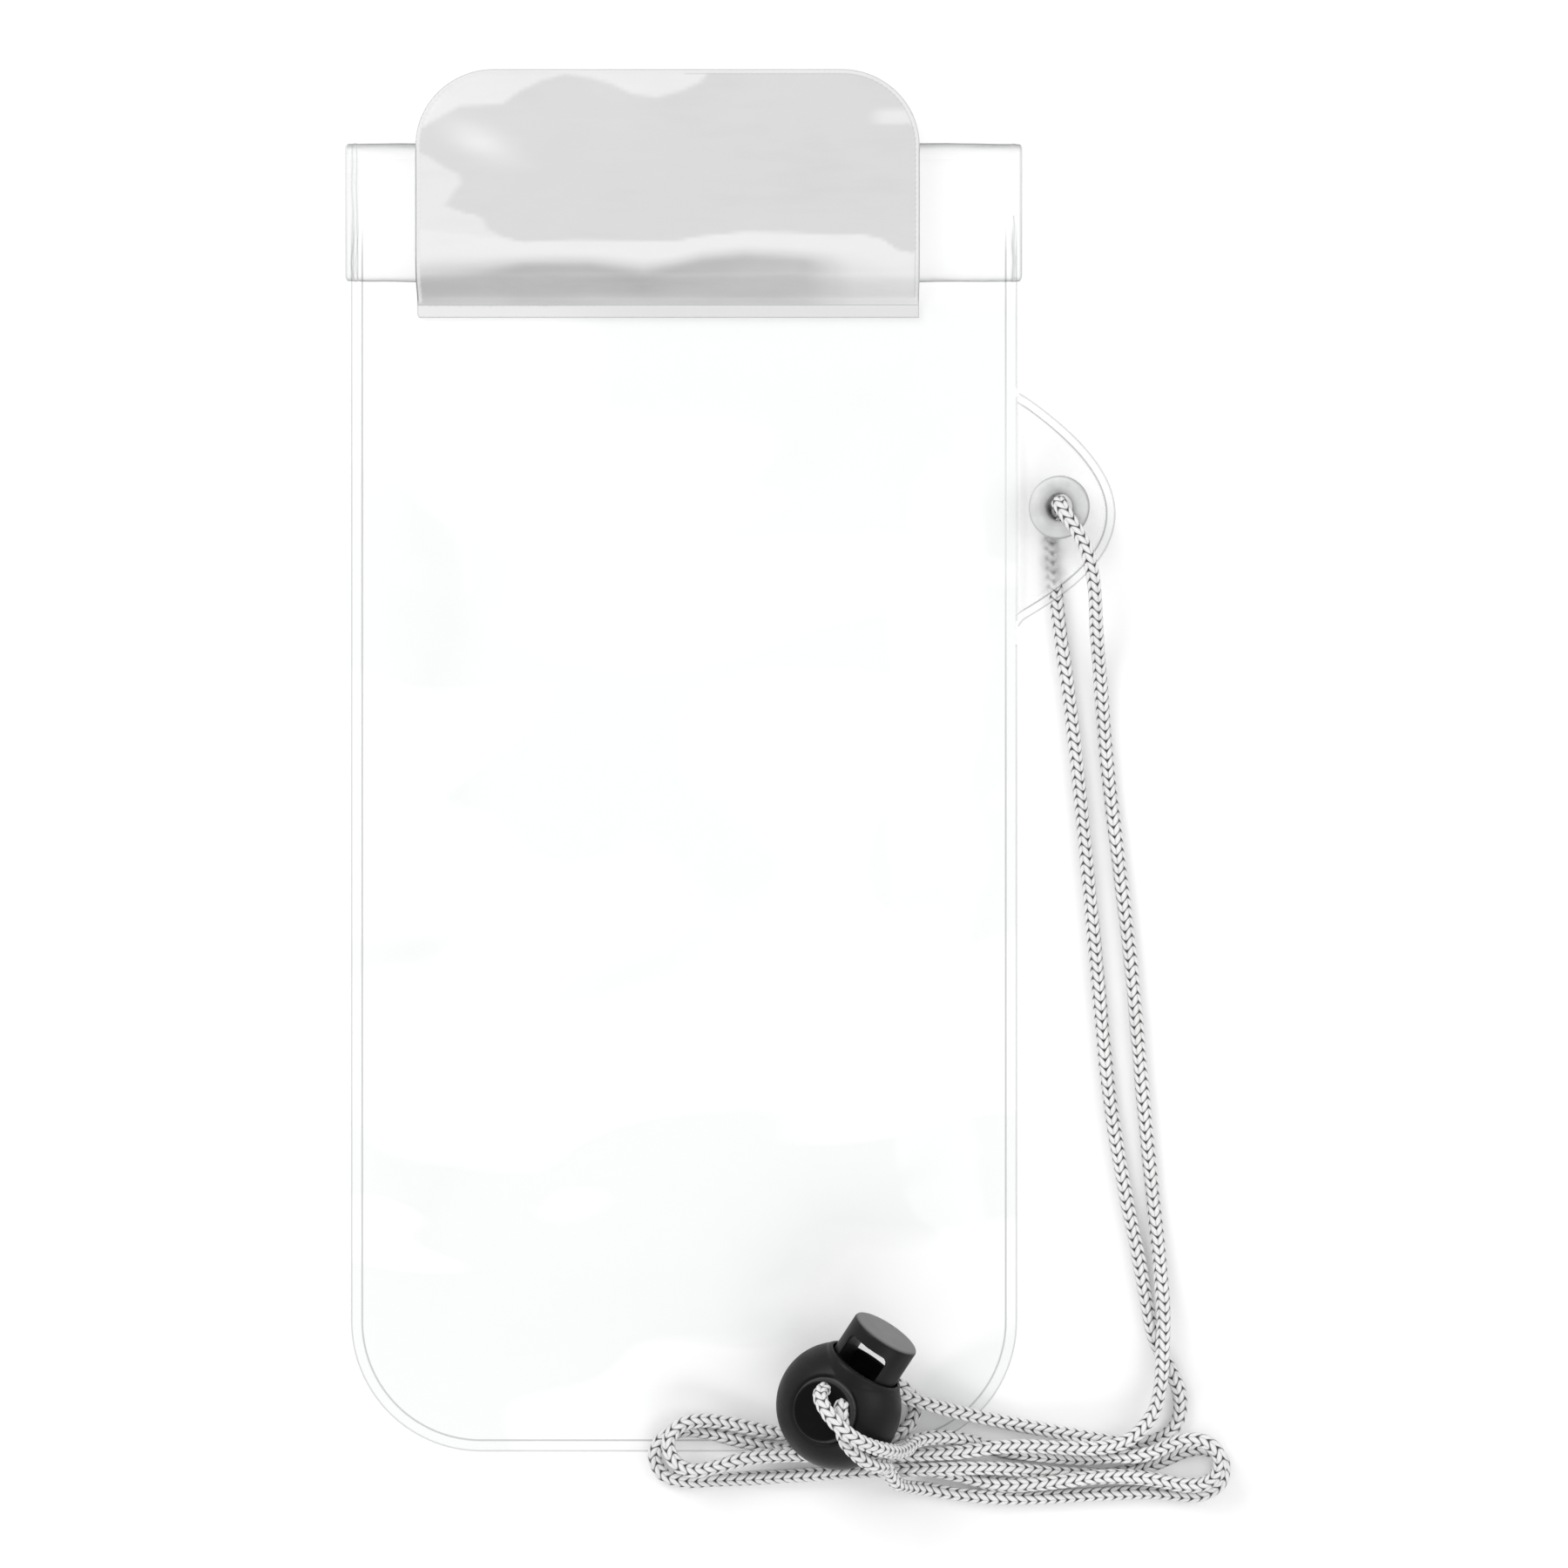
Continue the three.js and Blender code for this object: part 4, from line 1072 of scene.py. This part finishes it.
# A solid of revolution from a closed profile of (radius, height) points
def turned(name, profile, material, steps=96, axis="z"):
    count = len(profile)
    points = []
    for a in np.arange(steps) / steps * 2 * np.pi:
        for r, h in profile:
            if axis == "z":
                points.append((r * math.cos(a), r * math.sin(a), h))
            else:
                points.append((r * math.sin(a), h, r * math.cos(a)))
    faces = []
    for s in range(steps):
        here, there = s * count, (s + 1) % steps * count
        for i in range(count):
            j = (i + 1) % count
            faces.append((here + i, there + i, there + j, here + j))
    return clean(meshObject(name, points, faces, material))


# A round block of plastic; edge rounds both its ends
def rod(name, radius, low, high, axis="y", edge=0.0):
    profile = [(0, low), (radius, low), (radius, high), (0, high)]
    if edge:
        inner = radius - edge
        lower = [(inner + edge * math.sin(t), low + edge - edge * math.cos(t)) for t in np.linspace(0.3, 1.57, 4)]
        upper = [(inner + edge * math.cos(t), high - edge + edge * math.sin(t)) for t in np.linspace(0, 1.27, 4)]
        profile = [(0, low), (inner, low), *lower, *upper, (inner, high), (0, high)]
    return turned(name, profile, blackPlastic, 72, axis)


def ringProfile():
    middle, half = lock["radius"] - lock["half"], lock["half"]
    rimAngle = math.acos((lock["rim"] - middle) / half)
    outer = [(middle + half * math.cos(t), half * math.sin(t)) for t in np.linspace(-rimAngle, rimAngle, 41)]
    top = half * math.sin(rimAngle)
    throat = top - 1.6 * (lock["rim"] - lock["hole"])
    flare = []
    for t in np.linspace(0, 1, 8):
        atRim, between, atThroat = (1 - t) ** 2, 2 * (1 - t) * t, t * t
        r = atRim * lock["rim"] + between * lock["hole"] + atThroat * lock["hole"]
        flare.append((r, atRim * top + between * top + atThroat * throat))
    return outer + flare[1:] + [(r, -h) for r, h in flare[::-1][:-1]]


def cut(target, tool, operation="DIFFERENCE"):
    step = target.modifiers.new(operation, "BOOLEAN")
    step.operation = operation
    step.solver = "EXACT"
    step.object = tool
    applyModifiers(target)
    bpy.data.objects.remove(tool)


# A block with rounded corners, to cut with
def block(half, low, high, corner, depth, middle=0.0):
    outline = np.vstack([
        arc(half - corner, low + corner, corner, -90, 0, 6),
        arc(half - corner, high - corner, corner, 0, 90, 6),
        arc(corner - half, high - corner, corner, 90, 180, 6),
        arc(corner - half, low + corner, corner, 180, 270, 6),
    ])
    count = len(outline)
    points = [(x, y, z) for z in (middle - depth, middle + depth) for x, y in outline]
    faces = [tuple(range(count))[::-1], tuple(range(count, 2 * count))]
    faces += [(i, (i + 1) % count, (i + 1) % count + count, i + count) for i in range(count)]
    return clean(meshObject("cutter", points, faces, blackPlastic))


# Melts the sharp edges a little, as moulded plastic has them
def rounded(obj, voxel, passes):
    remesh = obj.modifiers.new("melt", "REMESH")
    remesh.mode = "VOXEL"
    remesh.voxel_size = voxel * mm
    remesh.use_smooth_shade = True
    soft = obj.modifiers.new("soften", "SMOOTH")
    soft.factor = 0.5
    soft.iterations = passes
    applyModifiers(obj)


def placeLock(obj, body, node):
    spots = vertexSpots(obj)
    fromHole = np.hypot(spots[:, 0], spots[:, 1])
    setValues(obj, "inside", smoothStep((5.5 - fromHole) / 0.8))
    # painted glints: the hole's rim and the button's end are painted lighter grey for their highlights
    atRim = bump(fromHole - lock["hole"] - 0.12, 0.22) * (spots[:, 2] > 2.5) * (node == "lock_body")
    atEnd = smoothStep((spots[:, 1] - lock["buttonTop"] + 0.35) / 0.3) * (node == "lock_button")
    setValues(obj, "paintedGlint", np.maximum(0.45 * atRim, atEnd))
    putInPlace(obj, lockPlace)
    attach(obj, body)
    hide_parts(node)


def lockBodyMesh():
    body = turned("lock_shell", ringProfile(), blackPlastic)
    cut(body, rod("collar", lock["collar"], 0, lock["collarTop"], edge=0.6), "UNION")
    cut(body, rod("cutter", lock["hole"], -8, 8, "z"))
    cut(body, rod("cutter", lock["bore"], lock["boreFloor"], 20))
    cut(body, rod("cutter", lock["chamber"], lock["chamberFloor"], 0))
    rounded(body, lock["softness"], 3)
    placeLock(body, "pouch", "lock_body")
    return body


def lockButtonMesh():
    button = rod("push_button", lock["button"], lock["gripBottom"], lock["buttonTop"], edge=0.5)
    cut(button, block(lock["window"] / 2, lock["grip"], lock["buttonTop"] - lock["cap"], 1.0, 12))
    # the grip's flat front and back
    for sign in (1, -1):
        cut(button, block(12, lock["grip"] - 6, lock["grip"], 0.3, 3, sign * (lock["gripDepth"] + 3)))
    cut(button, rod("cup", lock["cup"], lock["cupBottom"], lock["grip"] - 1.5), "UNION")
    cut(button, rod("cutter", lock["cup"] - lock["cupWall"], lock["cupBottom"] - 1, lock["gripBottom"] + 1.5))
    rounded(button, lock["buttonSoftness"], 2)
    placeLock(button, "button", "lock_button")
    return button


lockShell = lockBodyMesh()
pushButton = lockButtonMesh()
print("lock done")


# Eyelet: milky moulded ring through the tab, with its flat ring behind
eyelet = {
    "radius": 5.2,
    "hole": 2.25,
    "barrel": 2.9,
    "flange": 1.2,
    "seat": 0.74,
    "foot": -1.2,
    "over": 0.3,
    "washer": 4.6,
    "washerTop": -0.45,
    "washerThick": 0.6,
    "washerPlay": 0.15,
    "steps": 64,
    "clouds": ((0.53, 0.54, 0.54, 1), (0.66, 0.66, 0.66, 1)),
    "dark": (0.2, 0.2, 0.2, 1),
}
eyeletHeight = float(tabLift(eyeletAt[:1], bag["tabSlope"])[0]) + eyelet["over"]
eyeletPlace = Matrix.Translation((*eyeletAt, eyeletHeight)) @ Matrix.Rotation(-math.atan(bag["tabSlope"]), 4, "Y")


def milkyMaterial():
    material, tree = newMaterial("milky plastic")
    cloud = noiseMap(tree, objectCoords(tree), 300.0, 3.0, 0.5)
    colour = mixColour(tree, spread(tree, cloud, 0.3, 0.7), *eyelet["clouds"])
    # painted shade at the ring's outer edge and towards its hole
    colour = mixColour(tree, attribute(tree, "paintedRimShade"), colour, eyelet["dark"])
    shader = principled(
        tree, Base_Color=colour, Roughness=0.3, Normal=bumpMap(tree, cloud, 0.00003),
        Subsurface_Weight=0.6, Subsurface_Radius=(0.003, 0.003, 0.003), Subsurface_Scale=1.0,
    )
    output(tree, shader)
    return material


milkyPlastic = milkyMaterial()


def placeEyelet(obj, node):
    spots = vertexSpots(obj)
    out = np.hypot(spots[:, 0], spots[:, 1])
    # painted shade: darker at the outer edge and towards the hole
    edge = np.maximum(bump(out - eyelet["radius"], 0.22), 0.45 * smoothStep((3.7 - out) / 1.2))
    setValues(obj, "paintedRimShade", 0.75 * edge)
    putInPlace(obj, eyeletPlace)
    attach(obj, "pouch")
    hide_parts(node)


def eyeletMeshes():
    hole, barrel, seat, bend = eyelet["hole"], eyelet["barrel"], eyelet["seat"], eyelet["flange"] / 2
    crown = seat + 2 * bend + 0.05
    profile = [(hole, eyelet["foot"]), (barrel, eyelet["foot"]), (barrel, seat)]
    profile += [tuple(p) for p in arc(eyelet["radius"] - bend, seat + bend, bend, -90, 90, 12)]
    profile += [(4.2, crown), (3.4, crown)]
    profile += [tuple(p) for p in arc(hole + bend, seat + bend, bend, 90, 180, 10)]
    placeEyelet(turned("eyelet_ring", profile, milkyPlastic, eyelet["steps"]), "eyelet_front")

    inner, outer, top = barrel + eyelet["washerPlay"], eyelet["washer"], eyelet["washerTop"]
    low = top - eyelet["washerThick"]
    profile = [
        (inner, low), (outer - 0.35, low), (outer - 0.1, top - 0.5),
        (outer, top - 0.3), (outer, top), (inner, top),
    ]
    placeEyelet(turned("eyelet_back_ring", profile, milkyPlastic, eyelet["steps"]), "eyelet_washer")


eyeletMeshes()
print("eyelet done")


# Fastening tape under the flap, and the lock's spring: CAD pieces with woven and wire finishes
tapeColours = ((0.86, 0.86, 0.85, 1), (0.62, 0.62, 0.61, 1))
wireColour = (0.55, 0.56, 0.58, 1)


def tapeMaterial():
    material, tree = newMaterial("fastening tape")
    coords = objectCoords(tree)
    tufts = addNode(tree, "ShaderNodeTexVoronoi", {"Vector": coords, "Scale": 1400.0}).outputs[0]
    weave = noiseMap(tree, coords, 500.0, 4.0, 0.7)
    colour = mixColour(tree, spread(tree, tufts, 0.1, 0.6), *tapeColours)
    relief = bumpMap(tree, maths(tree, "ADD", tufts, weave), 0.0003)
    output(tree, principled(tree, Base_Color=colour, Roughness=0.9, Sheen_Weight=0.4, Normal=relief))
    return material


def wireMaterial():
    material, tree = newMaterial("spring wire")
    drawn = noiseMap(tree, objectCoords(tree), 900.0, 3.0, 0.6)
    rough = spread(tree, drawn, 0.3, 0.7, 0.2, 0.4)
    output(tree, principled(tree, Base_Color=wireColour, Metallic=1.0, Roughness=rough))
    return material


def finishNode(node, material, smooth):
    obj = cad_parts[node]
    obj.data.materials.clear()
    obj.data.materials.append(material)
    obj.data.polygons.foreach_set("use_smooth", [smooth] * len(obj.data.polygons))


tape = tapeMaterial()
finishNode("loop_patch", tape, False)
finishNode("hook_patch", tape, False)
finishNode("lock_spring", wireMaterial(), True)


# Floor and light
room = {"floor": (0.86, 0.86, 0.86), "lift": 0.12, "sky": 0.68, "half": 4000, "under": -0.05}
lights = {
    "key": ((-0.55, 0.55, 0.75), (0, 0, 0), (0.7, 0.5), 4.5),
    "fill": ((0.7, 0.1, 0.7), (0, 0, 0), (0.5, 0.7), 2.0),
    "front": ((0.1, -0.8, 0.6), (0, -0.03, 0), (0.7, 0.3), 1.8),
}


def floorMaterial():
    material, tree = newMaterial("pale floor")
    faint = noiseMap(tree, objectCoords(tree), 6.0, 2.0, 0.5)
    colour = mixColour(tree, faint, (*room["floor"], 1), (*(0.985 * c for c in room["floor"]), 1))
    ground = addNode(tree, "ShaderNodeBsdfDiffuse", {"Color": colour}).outputs[0]
    rays = addNode(tree, "ShaderNodeLightPath")
    # the lift is for the camera, also where it looks through the frosted film
    seen = maths(tree, "MAXIMUM", rays.outputs["Is Camera Ray"], rays.outputs["Is Transmission Ray"])
    lift = maths(tree, "MULTIPLY", seen, room["lift"])
    glow = addNode(tree, "ShaderNodeEmission", {"Color": (1, 1, 1, 1), "Strength": lift}).outputs[0]
    output(tree, addNode(tree, "ShaderNodeAddShader", {0: ground, 1: glow}).outputs[0])
    return material


corners = np.array([(-1, -1), (1, -1), (1, 1), (-1, 1)]) * room["half"]
corners = np.column_stack([corners, np.full(4, room["under"])])
floor = meshObject("floor", corners, [(0, 1, 2, 3)], floorMaterial(), False)

world = bpy.data.worlds.new("studio")
world.use_nodes = True
background = world.node_tree.nodes["Background"]
background.inputs[0].default_value = (1, 1, 1, 1)
background.inputs[1].default_value = room["sky"]
scene.world = world


def softBox(name, place, aim, size, power):
    data = bpy.data.lights.new(name, "AREA")
    data.shape = "RECTANGLE"
    data.size, data.size_y = size
    data.energy = power
    obj = link(bpy.data.objects.new(name, data))
    obj.location = place
    obj.rotation_mode = "QUATERNION"
    obj.rotation_quaternion = (Vector(aim) - Vector(place)).to_track_quat("-Z", "Y")


for name, settings in lights.items():
    softBox(name, *settings)

scene.view_settings.view_transform = "Standard"
